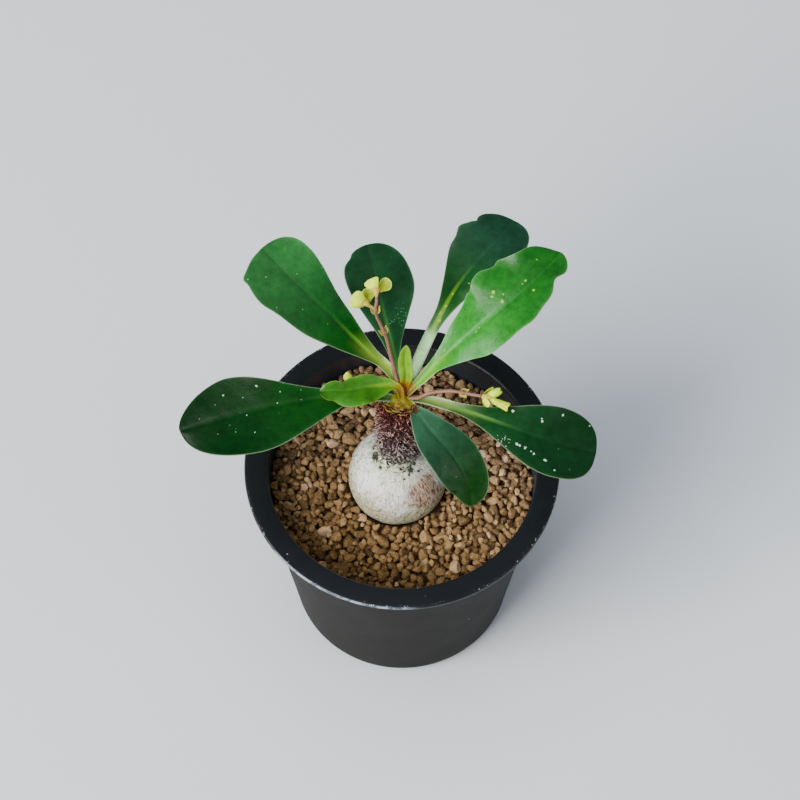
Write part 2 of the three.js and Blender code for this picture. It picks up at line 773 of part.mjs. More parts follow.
function leafGeometry( leaf ) {

	const spine = spineOf( leaf );
	const faces = leaf.face.map( vector );
	const thickness = leaf.thickness ?? blade.thickness;
	const rib = leaf.rib ?? blade.rib;
	const petioleDepth = leaf.petioleDepth ?? blade.petioleDepth;
	const bladeSteps = leaf.steps ?? blade.steps;
	const stations = [];

	for ( let k = 0; k < blade.petioleSteps; k ++ ) {

		stations.push( leaf.petiole * ( k / blade.petioleSteps ) ** 1.5 );

	}

	for ( let k = 0; k <= bladeSteps; k ++ ) {

		const q = 1 - ( 1 - blade.tipEnd * k / bladeSteps ) ** 1.5;
		stations.push( leaf.petiole + ( 1 - leaf.petiole ) * q );

	}

	const loops = stations.map( along => {

		const q = Math.max( 0, ( along - leaf.petiole ) / ( 1 - leaf.petiole ) );
		const middle = spine.getPointAt( along );
		const ahead = spine.getTangentAt( along );
		const face = faces[ 0 ].clone().lerp( faces[ 1 ], along ).projectOnPlane( ahead ).normalize();
		const right = new THREE.Vector3().crossVectors( ahead, face );
		const fold = THREE.MathUtils.degToRad( leaf.fold ) * smooth( 3 * q );
		const bladeShare = smooth( 4 * q );
		const topRow = [];
		const bottomRow = [];

		const widths = [ halfWidth( leaf, along, - 1 ), halfWidth( leaf, along, 1 ) ];
		const ribPlaces = widths.map( width => Math.min( 0.3, blade.ribHalf / width ) );
		const rolled = petioleDepth * ( 1 - 0.45 * Math.min( 1, along / leaf.petiole ) );
		const places = [ - 1, - blade.crease, - ribPlaces[ 0 ], 0, ribPlaces[ 1 ], blade.crease, 1 ];

		for ( const place of places ) {

			const k = place > 0 ? 1 : 0;
			const outward = Math.abs( place );
			const turn = leaf.waves * q + leaf.phase[ k ];
			const wave = leaf.wave * Math.sin( 2 * Math.PI * turn ) * smooth( 2 * q );
			const groove = outward === 0 ? blade.groove * bladeShare : 0;
			const lift = outward * widths[ k ] * Math.sin( fold ) + wave * outward ** 2 - groove
				+ 0.45 * rolled * ( 1 - bladeShare );
			const round = rolled * Math.sqrt( 1 - 0.85 * outward ** 2 );
			const ribbed = thickness + ( outward === 0 ? rib * ( 1 - 0.6 * q ) : 0 );
			const depth = Math.max( blade.least, THREE.MathUtils.lerp( round, ribbed, bladeShare ) );
			const top = middle.clone()
				.addScaledVector( right, place * widths[ k ] * Math.cos( fold ) )
				.addScaledVector( face, lift );
			topRow.push( top );
			bottomRow.unshift( top.clone().addScaledVector( face, - depth ) );

		}

		return [ ...topRow, ...bottomRow ];

	} );

	return loft( loops );

}

// Flower stalks: slim rounded stems, with a pair of small pointed bracts at each node

function tube( curve, radiusAt, steps, sides ) {

	const frames = curve.computeFrenetFrames( steps, false );
	const loops = [];

	for ( let k = 0; k <= steps; k ++ ) {

		const centre = curve.getPointAt( k / steps );
		const radius = radiusAt( k / steps );
		loops.push( Array.from( { length: sides }, ( _, i ) => {

			const angle = 2 * Math.PI * i / sides;
			return centre.clone()
				.addScaledVector( frames.normals[ k ], radius * Math.cos( angle ) )
				.addScaledVector( frames.binormals[ k ], radius * Math.sin( angle ) );

		} ) );

	}

	return loft( loops );

}

// A pointed scale: starts inside the stem at a point and leans out along a direction
function bractGeometry( at, outward, width, length ) {

	const along = outward.clone().normalize();
	const across = new THREE.Vector3().crossVectors( along, up ).normalize();
	const face = new THREE.Vector3().crossVectors( across, along );
	const section = ( distance, half, depth ) => {

		const centre = at.clone().addScaledVector( along, distance );
		const corners = [ [ - half, 0 ], [ 0, depth / 2 ], [ half, 0 ], [ 0, - depth / 2 ] ];
		return corners.map( ( [ x, y ] ) => {

			return centre.clone().addScaledVector( across, x ).addScaledVector( face, y );

		} );

	};

	return loft( [
		section( 0, width * 0.25, 0.5 ),
		section( length * 0.5, width / 2, 0.7 ),
		section( length * 0.95, width * 0.15, 0.5 ),
	] );

}

function stalkGeometry( stalk ) {

	const curve = spineOf( stalk );
	const swelling = ( along, node ) => 0.3 * Math.exp( - ( ( ( along - node ) / 0.03 ) ** 2 ) );
	const radiusAt = along => stalk.radius * ( 1 - 0.25 * along )
		+ stalk.nodes.reduce( ( sum, node ) => sum + swelling( along, node ), 0 );
	let shape = solid( tube( curve, radiusAt, 20, 6 ) );

	if ( stalk.branch ) {

		shape = shape.add( solid( tube( curveThrough( stalk.branch ), () => stalk.radius * 0.75, 3, 6 ) ) );

	}

	for ( const node of stalk.nodes ) {

		const at = curve.getPointAt( node );
		const ahead = curve.getTangentAt( node );
		const sideways = new THREE.Vector3().crossVectors( ahead, up ).normalize();

		for ( const side of [ - 1, 1 ] ) {

			const outward = sideways.clone().multiplyScalar( side ).addScaledVector( ahead, 0.9 );
			shape = shape.add( solid( bractGeometry( at, outward, bract.width, bract.length ) ) );

		}

	}

	return geometryFrom( shape );

}

// Flower heads: a cup that opens into two rounded bracts, as one thin shell with a filled middle
function headGeometry( { foot, up: facing, across, spread, rise } ) {

	const base = vector( foot ).add( rosette );
	const axis = vector( facing ).normalize();
	const wide = vector( across ).projectOnPlane( axis ).normalize();
	const narrow = new THREE.Vector3().crossVectors( axis, wide );
	const sides = 20;
	const lobe = angle => Math.abs( Math.cos( angle ) ) ** 0.7;
	const loop = place => Array.from( { length: sides }, ( _, i ) => {

		const angle = 2 * Math.PI * ( i + 0.5 ) / sides;
		const [ radius, height ] = place( lobe( angle ) );
		return base.clone()
			.addScaledVector( axis, height )
			.addScaledVector( wide, radius * Math.cos( angle ) )
			.addScaledVector( narrow, radius * Math.sin( angle ) );

	} );

	return loft( [
		loop( () => [ 0.45, 0 ] ),
		loop( () => [ 0.8, 0.8 ] ),
		loop( l => [ 1.1 + 0.4 * l, 1.5 ] ),
		loop( l => [ 1.25 + 0.6 * ( spread - 1.25 ) * l, 1.7 + 0.65 * rise * l ] ),
		loop( l => [ 1.3 + ( spread - 1.3 ) * l, 1.8 + rise * l ] ),
		loop( l => [ 1.0 + ( spread - 1.3 ) * l, 2.3 + rise * l ] ),
		loop( l => [ 0.85 + 0.55 * ( spread - 1.25 ) * l, 2.3 + 0.6 * rise * l ] ),
		loop( l => [ 0.6 + 0.3 * l, 2.15 ] ),
	], { end: base.clone().addScaledVector( axis, 2.3 ) } );

}

// The head of the right stalk: a small cup with two tubular buds
function budHeadGeometry() {

	const cup = curveThrough( [ [ 24.4, - 4.6, 7.2 ], [ 25.6, - 4.8, 7.2 ], [ 27, - 5, 7.1 ] ] );
	const buds = [
		curveThrough( [ [ 26, - 4.7, 7.2 ], [ 27.8, - 4.1, 7.8 ], [ 29.6, - 3.3, 8.5 ] ] ),
		curveThrough( [ [ 26, - 5.1, 7.1 ], [ 29, - 6.4, 6.6 ], [ 32, - 7.5, 5.8 ] ] ),
	];
	let shape = solid( tube( cup, along => 0.6 + 0.9 * smooth( along * 1.6 ), 4, 8 ) );
	shape = shape.add( solid( tube( buds[ 0 ], along => 0.7 + 0.45 * along * along, 4, 8 ) ) );
	shape = shape.add( solid( tube( buds[ 1 ], along => 0.7 + 0.9 * along * along, 5, 8 ) ) );
	return geometryFrom( shape );

}

// The left stalk's single pale bud
function leftBudGeometry() {

	const curve = curveThrough( [ [ - 16.5, 2.9, 4.25 ], [ - 17, 3.3, 5 ], [ - 17.2, 4.2, 6.4 ] ] );
	return tube( curve, along => 0.45 + 1.0 * Math.sin( Math.PI * ( 0.12 + 0.8 * along ) ), 6, 8 );

}

// The scene: one named mesh for each piece

const finishes = {
	pot: { color: 0x16171b, roughness: 0.55 },
	screen: { color: 0x2a2c2e, roughness: 0.6 },
	soil: { color: 0x9a7450, roughness: 0.95 },
	caudex: { color: 0xcfcab8, roughness: 0.8 },
	stem: { color: 0x4a2b2c, roughness: 0.9 },
	leaf: { color: 0x17582f, roughness: 0.4 },
	youngLeaf: { color: 0x6f9a1e, roughness: 0.4 },
	stalk: { color: 0xa4776a, roughness: 0.55 },
	flower: { color: 0xcdd672, roughness: 0.5 },
};

const group = new THREE.Group();

function place( name, geometry, finish ) {

	const material = new THREE.MeshStandardMaterial( { metalness: 0, ...finishes[ finish ] } );
	const mesh = new THREE.Mesh( geometry, material );
	mesh.name = name;
	group.add( mesh );
	return mesh;

}

place( 'pot', potGeometry(), 'pot' );
place( 'drain_screen', screenGeometry(), 'screen' ).position.z = pot.floor + seatGap;
place( 'soil', soilGeometry(), 'soil' );
place( 'caudex', caudexGeometry(), 'caudex' );
place( 'stem', stemGeometry(), 'stem' );

for ( const [ name, leaf ] of Object.entries( leaves ) ) {

	place( name, leafGeometry( leaf ), leaf.young ? 'youngLeaf' : 'leaf' );

}

for ( const [ name, stalk ] of Object.entries( stalks ) ) place( name, stalkGeometry( stalk ), 'stalk' );
for ( const [ name, head ] of Object.entries( heads ) ) place( name, headGeometry( head ), 'flower' );
place( 'flower_right', budHeadGeometry(), 'flower' );
place( 'flower_left_bud', leftBudGeometry(), 'flower' );

export default group;
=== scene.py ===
import json
import math
import random

import bmesh
import bpy
import numpy as np
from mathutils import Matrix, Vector, noise

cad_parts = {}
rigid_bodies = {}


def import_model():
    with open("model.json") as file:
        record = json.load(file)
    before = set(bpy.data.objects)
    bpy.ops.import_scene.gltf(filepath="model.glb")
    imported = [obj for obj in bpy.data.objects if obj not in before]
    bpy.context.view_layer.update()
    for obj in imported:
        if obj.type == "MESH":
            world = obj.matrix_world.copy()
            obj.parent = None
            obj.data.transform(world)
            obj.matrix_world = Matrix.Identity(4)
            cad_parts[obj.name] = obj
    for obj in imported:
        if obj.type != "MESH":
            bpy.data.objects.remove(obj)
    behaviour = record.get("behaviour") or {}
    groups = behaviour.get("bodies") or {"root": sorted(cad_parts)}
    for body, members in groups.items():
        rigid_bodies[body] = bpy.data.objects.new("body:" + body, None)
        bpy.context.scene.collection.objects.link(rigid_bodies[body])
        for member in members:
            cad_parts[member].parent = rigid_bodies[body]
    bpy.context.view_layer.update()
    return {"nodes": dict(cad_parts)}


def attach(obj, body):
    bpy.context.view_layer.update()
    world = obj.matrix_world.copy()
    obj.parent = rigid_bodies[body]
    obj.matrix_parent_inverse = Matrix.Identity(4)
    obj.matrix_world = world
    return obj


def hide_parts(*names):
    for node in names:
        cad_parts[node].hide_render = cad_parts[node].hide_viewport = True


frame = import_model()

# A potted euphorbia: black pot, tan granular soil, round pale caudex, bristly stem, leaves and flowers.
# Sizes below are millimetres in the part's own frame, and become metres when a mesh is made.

mm = 0.001


def metres(values):
    return [value * mm for value in values]


# Shapes

def smooth(x):
    x = np.clip(x, 0, 1)
    return x * x * (3 - 2 * x)


def mixed(a, b, share):
    return a + (b - a) * share


def unit(vectors):
    vectors = np.asarray(vectors, float)
    return vectors / np.linalg.norm(vectors, axis=-1, keepdims=True)


def bell(x):
    return np.exp(-(x ** 2))


def curveThrough(points, perSpan=60):
    # a smooth curve through the points, read by the share of its length
    points = [np.array(p, float) for p in points]
    ends = [2 * points[0] - points[1], *points, 2 * points[-1] - points[-2]]
    track = []
    for a, b, c, d in zip(ends, ends[1:], ends[2:], ends[3:]):
        before, span, after = (np.linalg.norm(q - p) ** 0.5 for p, q in ((a, b), (b, c), (c, d)))
        start = ((b - a) / before - (c - a) / (before + span) + (c - b) / span) * span
        end = ((c - b) / span - (d - b) / (span + after) + (d - c) / after) * span
        for w in np.arange(perSpan) / perSpan:
            bend = -3 * b + 3 * c - 2 * start - end
            track.append(b + start * w + bend * w ** 2 + (2 * b - 2 * c + start + end) * w ** 3)
    track = np.array(track + [points[-1]])
    lengths = np.concatenate([[0], np.cumsum(np.linalg.norm(np.diff(track, axis=0), axis=1))])

    def at(share):
        place = np.clip(share, 0, 1) * lengths[-1]
        return np.stack([np.interp(place, lengths, track[:, k]) for k in range(3)], -1)

    at.length = lengths[-1]
    return at


def directionsAlong(curve, shares, step=0.004):
    shares = np.asarray(shares, float)
    return unit(curve(shares + step) - curve(shares - step))


def signedVolume(points, faces):
    total = 0
    for face in faces:
        for b, c in zip(face[1:], face[2:]):
            total += np.dot(points[face[0]], np.cross(points[b], points[c]))
    return total


def loft(loops, start=None, end=None):
    # a closed skin over rows of loops, each end closed on one point
    loops = np.asarray(loops, float)
    rows, count = loops.shape[:2]
    start = loops[0].mean(0) if start is None else start
    end = loops[-1].mean(0) if end is None else end
    points = np.vstack([loops.reshape(-1, 3), [start], [end]])
    first, last = rows * count, rows * count + 1
    faces = []
    for i in range(count):
        j = (i + 1) % count
        faces += [(r * count + i, r * count + j, (r + 1) * count + j, (r + 1) * count + i)
                  for r in range(rows - 1)]
        faces += [(first, j, i), (last, (rows - 1) * count + i, (rows - 1) * count + j)]
    if signedVolume(points, faces) < 0:
        faces = [face[::-1] for face in faces]
    return points, faces


def ring(radius, z, count, centre=(0, 0)):
    angles = 2 * math.pi * np.arange(count) / count
    flat = np.full(count, float(z))
    return np.stack([centre[0] + radius * np.cos(angles), centre[1] + radius * np.sin(angles), flat], -1)


def turned(profile, count, centre=(0, 0)):
    # a body of revolution: the profile of radius and height starts and ends on the axis
    loops = [ring(radius, z, count, centre) for radius, z in profile[1:-1]]
    ends = [np.array([centre[0], centre[1], profile[k][1]]) for k in (0, -1)]
    return loft(loops, *ends)


def arc(centreRadius, centreZ, radius, start, end, steps):
    angles = np.radians(np.linspace(start, end, steps + 1))
    return [(centreRadius + radius * math.cos(a), centreZ + radius * math.sin(a)) for a in angles]


def tube(curve, radiusAt, steps, sides):
    shares = np.linspace(0, 1, steps + 1)
    middles = curve(shares)
    ahead = directionsAlong(curve, shares)
    across = unit(np.cross(ahead[0], (0.31, 0.17, 0.93)))
    loops = []
    for k, share in enumerate(shares):
        across = unit(across - ahead[k] * np.dot(across, ahead[k]))
        other = np.cross(ahead[k], across)
        angles = 2 * math.pi * np.arange(sides) / sides
        radius = radiusAt(share)
        turn = np.cos(angles)[:, None] * across + np.sin(angles)[:, None] * other
        loops.append(middles[k] + radius * turn)
    return np.array(loops)


def withEnds(fields, **ends):
    # the values on a loft's loops, followed by those on its two end points
    return {key: np.concatenate([np.ravel(values), ends[key]]) for key, values in fields.items()}


def petalShape(base, tip, inner, width, bow, widest=0.55, foot=0.3, thickness=0.22):
    # a rounded scale from base to tip, hollow on its inner side
    base, tip = np.array(base, float), np.array(tip, float)
    ahead = unit(tip - base)
    inner = unit(np.array(inner) - ahead * np.dot(inner, ahead))
    across = np.cross(ahead, inner)
    length = np.linalg.norm(tip - base)
    shares = (1 - (1 - 0.999 * np.linspace(0, 1, 24)) ** 1.6)[:, None]
    place = np.sin(np.radians(np.linspace(-90, 90, 19)))
    late = np.clip((shares - widest) / (1 - widest), 0, 1)
    rising, falling = mixed(foot, 1, smooth(shares / widest)), np.sqrt(1 - late ** 2)
    half = width / 2 * np.where(shares < widest, rising, falling)
    lift = 0.28 * half * place ** 2 - bow * np.sin(math.pi * shares)
    top = (base + (ahead * length * shares)[:, None] + across * (place * half)[..., None]
           + inner * lift[..., None])
    thin = thickness * (1 - 0.5 * place ** 4)
    loops = np.concatenate([top, (top - inner * thin[:, None])[:, ::-1]], axis=1)
    rim = np.minimum(half * (1 - np.abs(place)), length * (1 - shares))
    out = np.broadcast_to(shares, rim.shape)
    fields = {
        "out": np.concatenate([out, out], axis=1), "rim": np.concatenate([rim, rim[:, ::-1]], axis=1),
        "outside": np.concatenate([np.zeros_like(rim), np.ones_like(rim)], axis=1),
    }
    return *loft(loops), withEnds(fields, out=(0, 1), rim=(1, 0), outside=(0, 0))


def joined(*parts):
    points, faces, offset = [], [], 0
    for partPoints, partFaces in parts:
        points.append(partPoints)
        faces += [tuple(i + offset for i in face) for face in partFaces]
        offset += len(partPoints)
    return np.vstack(points), faces


def gathered(shapes):
    # shapes of points, faces and fields, as one
    points, faces = joined(*[shape[:2] for shape in shapes])
    fields = {key: np.concatenate([shape[2][key] for shape in shapes]) for key in shapes[0][2]}
    return points, faces, fields


def makeMesh(name, points, faces, material=None, sharp=None, **fields):
    mesh = bpy.data.meshes.new(name)
    mesh.from_pydata((np.asarray(points) * mm).tolist(), [], [list(face) for face in faces])
    for field, values in fields.items():
        values = np.ascontiguousarray(values, np.float32)
        kind, key = ("FLOAT", "value") if values.ndim == 1 else ("FLOAT_VECTOR", "vector")
        mesh.attributes.new(field, kind, "POINT").data.foreach_set(key, values.ravel())
    if faces:
        mesh.shade_smooth()
    if sharp:
        mesh.set_sharp_from_angle(angle=math.radians(sharp))
    if material:
        mesh.materials.append(material)
    piece = bpy.data.objects.new(name, mesh)
    bpy.context.scene.collection.objects.link(piece)
    return piece


def bake(piece):
    # the evaluated piece becomes a plain mesh, and its modifiers go
    depsgraph = bpy.context.evaluated_depsgraph_get()
    mesh = bpy.data.meshes.new_from_object(
        piece.evaluated_get(depsgraph), preserve_all_data_layers=True, depsgraph=depsgraph)
    piece.modifiers.clear()
    piece.data = mesh
    return piece


def dress(piece, slot, *nodes):
    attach(piece, "root")
    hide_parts(*nodes)
    count = sum(len(face.vertices) - 2 for face in piece.data.polygons)
    print(f"{piece.name}: {count} triangles")


# Node trees

def rgb(red, green, blue):
    # a colour as seen on a screen, 0 to 255, turned to the linear values that shaders take
    share = np.array([red, green, blue]) / 255
    linear = np.where(share <= 0.04045, share / 12.92, ((share + 0.055) / 1.055) ** 2.4)
    return (*linear.tolist(), 1)


def feed(tree, socket, value):
    if isinstance(value, bpy.types.NodeSocket):
        tree.links.new(value, socket)
    elif value is not None:
        socket.default_value = value


def add(tree, kind, *inputs, output=0, named=None, **settings):
    made = tree.nodes.new(kind)
    for key, value in settings.items():
        setattr(made, key, value)
    for socket, value in zip(made.inputs, inputs):
        feed(tree, socket, value)
    for key, value in (named or {}).items():
        feed(tree, made.inputs[key], value)
    return made.outputs[output]


def calc(tree, operation, *values):
    return add(tree, "ShaderNodeMath", *values, operation=operation)


def folded(operation):
    # a function that joins any number of values, two at a time
    def run(tree, first, *others):
        for other in others:
            first = calc(tree, operation, first, other)
        return first
    return run


plus, times, most = (folded(operation) for operation in ("ADD", "MULTIPLY", "MAXIMUM"))


def scaled(tree, value, factor, offset):
    return calc(tree, "MULTIPLY_ADD", value, factor, offset)


def vectorCalc(tree, operation, *vectors):
    # a distance, a length or a dot product comes out of the node's second socket
    output = 1 if operation in ("DISTANCE", "LENGTH", "DOT_PRODUCT") else 0
    return add(tree, "ShaderNodeVectorMath", *vectors, operation=operation, output=output)


def separated(tree, vector):
    return list(add(tree, "ShaderNodeSeparateXYZ", vector).node.outputs)


def ranged(tree, value, low, high, toLow=0, toHigh=1):
    return add(tree, "ShaderNodeMapRange", value, low, high, toLow, toHigh, interpolation_type="SMOOTHSTEP")


def mixColour(tree, share, a, b):
    made = tree.nodes.new("ShaderNodeMix")
    made.data_type = "RGBA"
    for index, value in ((0, share), (6, a), (7, b)):
        feed(tree, made.inputs[index], value)
    return made.outputs[2]


def shifted(tree, colour, **named):
    return add(tree, "ShaderNodeHueSaturation", named={"Color": colour, **named})


def rampOf(tree, value, stops):
    ramp = add(tree, "ShaderNodeValToRGB", value).node
    for position, _ in stops[1:-1]:
        ramp.color_ramp.elements.new(position)
    for element, (position, colour) in zip(ramp.color_ramp.elements, stops):
        element.position, element.color = position, colour
    return ramp.outputs[0]


def noiseOf(tree, vector, scale, detail=2, roughness=0.5):
    named = {"Vector": vector, "Scale": scale, "Detail": detail, "Roughness": roughness}
    return add(tree, "ShaderNodeTexNoise", named=named)


def attribute(tree, name, output=2):
    return add(tree, "ShaderNodeAttribute", attribute_name=name, output=output)


def objectPlace(tree):
    return add(tree, "ShaderNodeTexCoord", output=3)


def group(name, kind, inputs, outputs):
    tree = bpy.data.node_groups.new(name, kind)
    for label, socketType, value in inputs:
        socket = tree.interface.new_socket(label, in_out="INPUT", socket_type="NodeSocket" + socketType)
        if value is not None:
            socket.default_value = value
    for label, socketType in outputs:
        tree.interface.new_socket(label, in_out="OUTPUT", socket_type="NodeSocket" + socketType)
    incoming = tree.nodes.new("NodeGroupInput")
    outgoing = tree.nodes.new("NodeGroupOutput")
    return tree, incoming.outputs, outgoing.inputs


def useGroup(tree, inner, **values):
    made = tree.nodes.new("ShaderNodeGroup")
    made.node_tree = inner
    for key, value in values.items():
        feed(tree, made.inputs[key], value)
    return made.outputs


def finish(name, roughness=0.5, specular=0.5, **sockets):
    # a new material and its shader, with what is the same all over set on the shader's own sockets
    material = bpy.data.materials.new(name)
    material.use_nodes = True
    tree = material.node_tree
    shader = tree.nodes["Principled BSDF"]
    shader.inputs["Roughness"].default_value = roughness
    shader.inputs["Specular IOR Level"].default_value = specular
    for key, value in sockets.items():
        shader.inputs[key.replace("_", " ")].default_value = value
    return material, tree, shader


def relief(tree, shader, height, distance, strength=1):
    named = {"Strength": strength, "Distance": distance * mm, "Height": height}
    feed(tree, shader.inputs["Normal"], add(tree, "ShaderNodeBump", named=named))


def makeSpeckTree():
    # small round specks: a share of the cells of a lattice holds one each
    tree, given, result = group(
        "specks", "ShaderNodeTree",
        [("Vector", "Vector", None), ("Scale", "Float", 300),
         ("Share", "Float", 0.2), ("Size", "Float", 0.2)],
        [("Mask", "Float")])
    cells = tree.nodes.new("ShaderNodeTexVoronoi")
    feed(tree, cells.inputs["Vector"], given["Vector"])
    feed(tree, cells.inputs["Scale"], given["Scale"])
    draw = add(tree, "ShaderNodeSeparateColor", cells.outputs["Color"])
    chosen = calc(tree, "LESS_THAN", draw, given["Share"])
    reach = times(tree, given["Size"], scaled(tree, draw.node.outputs[1], 0.8, 0.4))
    inside = ranged(tree, calc(tree, "DIVIDE", cells.outputs["Distance"], reach), 1.0, 0.6)
    feed(tree, result["Mask"], times(tree, inside, chosen))
    return tree


speckTree = makeSpeckTree()


def specks(tree, place, scale, share, size):
    return useGroup(tree, speckTree, Vector=place, Scale=scale, Share=share, Size=size)["Mask"]


def blotches(tree, place, spots, unevenness, softness):
    # a mask of uneven blotches, each given by its centre and radius
    mask = 0.0
    for centre, radius in spots:
        away = plus(tree, vectorCalc(tree, "DISTANCE", place, centre), times(tree, unevenness, radius))
        mask = most(tree, mask, ranged(tree, away, radius, radius * (1 - softness)))
    return mask


# Camera, floor and light

view = {"place": (-0.63, -473.94, 1009.58), "tilt": 28.2, "lens": 148.5, "sensor": 36, "nearest": 10}

camera = bpy.data.objects.new("camera", bpy.data.cameras.new("camera"))
camera.location = Vector(view["place"]) * mm
camera.rotation_euler = (math.radians(view["tilt"]), 0, 0)
camera.data.lens = view["lens"]
camera.data.sensor_width = view["sensor"]
camera.data.clip_start = view["nearest"] * mm
bpy.context.scene.collection.objects.link(camera)
bpy.context.scene.camera = camera

studio = {
    "floorSize": 9000, "floorColours": (rgb(210, 214, 219), rgb(212, 216, 219)),
    "worldColour": rgb(205, 216, 230), "worldStrength": 0.3,
    "farGlow": 1.5, "glowReach": (500, 3200),
    # each lamp: where it stands, what it looks at, its width and height, power in watts, colour
    "lamps": {
        "window": ((-1330, -960, 1240), (0, 0, 80), (1400, 1400), 90, rgb(255, 252, 247)),
        "ceiling": ((-250, -150, 2080), (0, 0, 80), (1700, 1400), 30, rgb(236, 243, 255)),
        "wall": ((500, 1660, 560), (0, 0, 100), (1700, 600), 4, rgb(232, 240, 255)),
        "room": ((1500, -650, 980), (0, 0, 80), (1000, 1000), 5, rgb(255, 246, 236)),
    },
}

world = bpy.data.worlds.new("studio")
world.use_nodes = True
world.node_tree.nodes["Background"].inputs["Color"].default_value = studio["worldColour"]
world.node_tree.nodes["Background"].inputs["Strength"].default_value = studio["worldStrength"]
bpy.context.scene.world = world

for name, (place, target, size, power, tint) in studio["lamps"].items():
    lamp = bpy.data.lights.new(name, "AREA")
    lamp.shape = "RECTANGLE"
    lamp.size, lamp.size_y = size[0] * mm, size[1] * mm
    lamp.energy = power
    lamp.color = tint[:3]
    holder = bpy.data.objects.new(name, lamp)
    holder.location = Vector(place) * mm
    holder.rotation_euler = (Vector(place) - Vector(target)).to_track_quat("Z", "Y").to_euler()
    holder.visible_glossy = name in ("window", "room")
    bpy.context.scene.collection.objects.link(holder)


def floorFinish():
    material, tree, shader = finish("paleFloor", roughness=0.7, specular=0.25)
    place = objectPlace(tree)
    colour = mixColour(tree, noiseOf(tree, place, 2.5), *studio["floorColours"])
    feed(tree, shader.inputs["Base Color"], colour)
    # far out, where the lamps fade, the floor keeps its paleness by a glow of its own
    shader.inputs["Emission Color"].default_value = studio["floorColours"][0]
    away = vectorCalc(tree, "LENGTH", place)
    glow = ranged(tree, away, *metres(studio["glowReach"]), 0, studio["farGlow"])
    feed(tree, shader.inputs["Emission Strength"], glow)
    return material


half = studio["floorSize"] / 2
corners = [(-half, -half, 0), (half, -half, 0), (half, half, 0), (-half, half, 0)]
makeMesh("floor", corners, [(0, 1, 2, 3)], floorFinish())
print("stage ready")


# Pot

pot = {
    "height": 82.5, "lipRadius": 49.8, "mouthRadius": 42.5, "lipDepth": 5.8, "lipFoot": 2.3,
    "lipEdge": 0.8, "mouthEdge": 1.2, "innerCorner": 4, "wallTopRadius": 44.5, "baseRadius": 35,
    "cornerRadius": 5.5, "wall": 2, "floor": 4, "segments": 192,
    "hole": {"count": 6, "radius": 1.9, "ring": 18},
    "groove": {"count": 3, "width": 3.6, "depth": 1.2, "start": 13},
    # each surface is mottled between two colours
    # the body's brownish tint is partly a painted reflection of brown wood
    "body": (rgb(24, 22, 20), rgb(34, 32, 30)), "rim": (rgb(13, 15, 18), rgb(19, 22, 26)),
    # the inside colours, paler and bluer than the rim's, are a painted sheen on the inner wall
    "inside": (rgb(34, 38, 44), rgb(54, 59, 68)), "dust": rgb(196, 198, 200), "glintAndWear": rgb(150, 164, 186),
    # the bright edge line is partly wear and partly a painted highlight, centred on this direction round
    # the lip
    "glintTowards": (-0.42, -0.91), "screen": (rgb(38, 40, 42), rgb(52, 54, 56)),
}
soil = {
    "level": 70.5, "joint": 1.7, "bankRise": 3.5, "bankAzimuth": 115, "clearance": 0.33,
    "screenRadius": 25.6, "screenRecess": 1.1, "bottomGap": 0.3,
    "bedDrop": 3.0, "bedLumps": 0.5, "bedAround": 96, "bedHeights": (60, 40, 20, 9),
    # granules rest on a height field of small cells, and the filling ends after so many misses
    "fill": 4.1, "top": 1.6, "seed": 7, "cell": 0.4, "tries": 20, "misses": 160,
    "settle": 0.86, "wallShare": 0.8, "wallGap": 0.5, "globeGap": 0.1, "outside": 200,
    # share of the granules, smallest and largest radius
    "sizes": [(0.2, 0.8, 1.2), (0.45, 1.25, 1.75), (0.35, 1.75, 2.25)],
    "shapes": 10, "cuts": 8, "cutDepth": (0.5, 0.8), "grow": 1.22, "edgeAngle": 24,
    "stretch": ((1.0, 1.3), (0.85, 1.0), (0.68, 0.86)),
    "tilt": 0.45, "tone": (0.52, 0.23), "leastTone": 0.03,
    "tones": [(0, rgb(52, 36, 20)), (0.3, rgb(94, 70, 38)), (0.6, rgb(124, 94, 56)),
              (0.85, rgb(152, 120, 78)), (1, rgb(184, 148, 112))],
    "blotch": rgb(88, 64, 38), "grain": rgb(186, 154, 112), "pore": rgb(48, 33, 18),
    # how pale the soil is: at the middle, more for each millimetre to the right and back, most and least;
    # this is painted light and shade, paler where the lamp reaches and darker where the lip shades the soil
    "pale": {"middle": 1.52, "right": 0.008, "back": 0.021, "most": 1.9, "least": 0.76},
}
lipUnderside = pot["height"] - pot["lipDepth"]
soilFoot = soil["level"] - soil["joint"]


def outerRadius(z):
    return mixed(pot["baseRadius"], pot["wallTopRadius"], z / lipUnderside)


def innerRadius(z):
    return outerRadius(z) - pot["wall"]


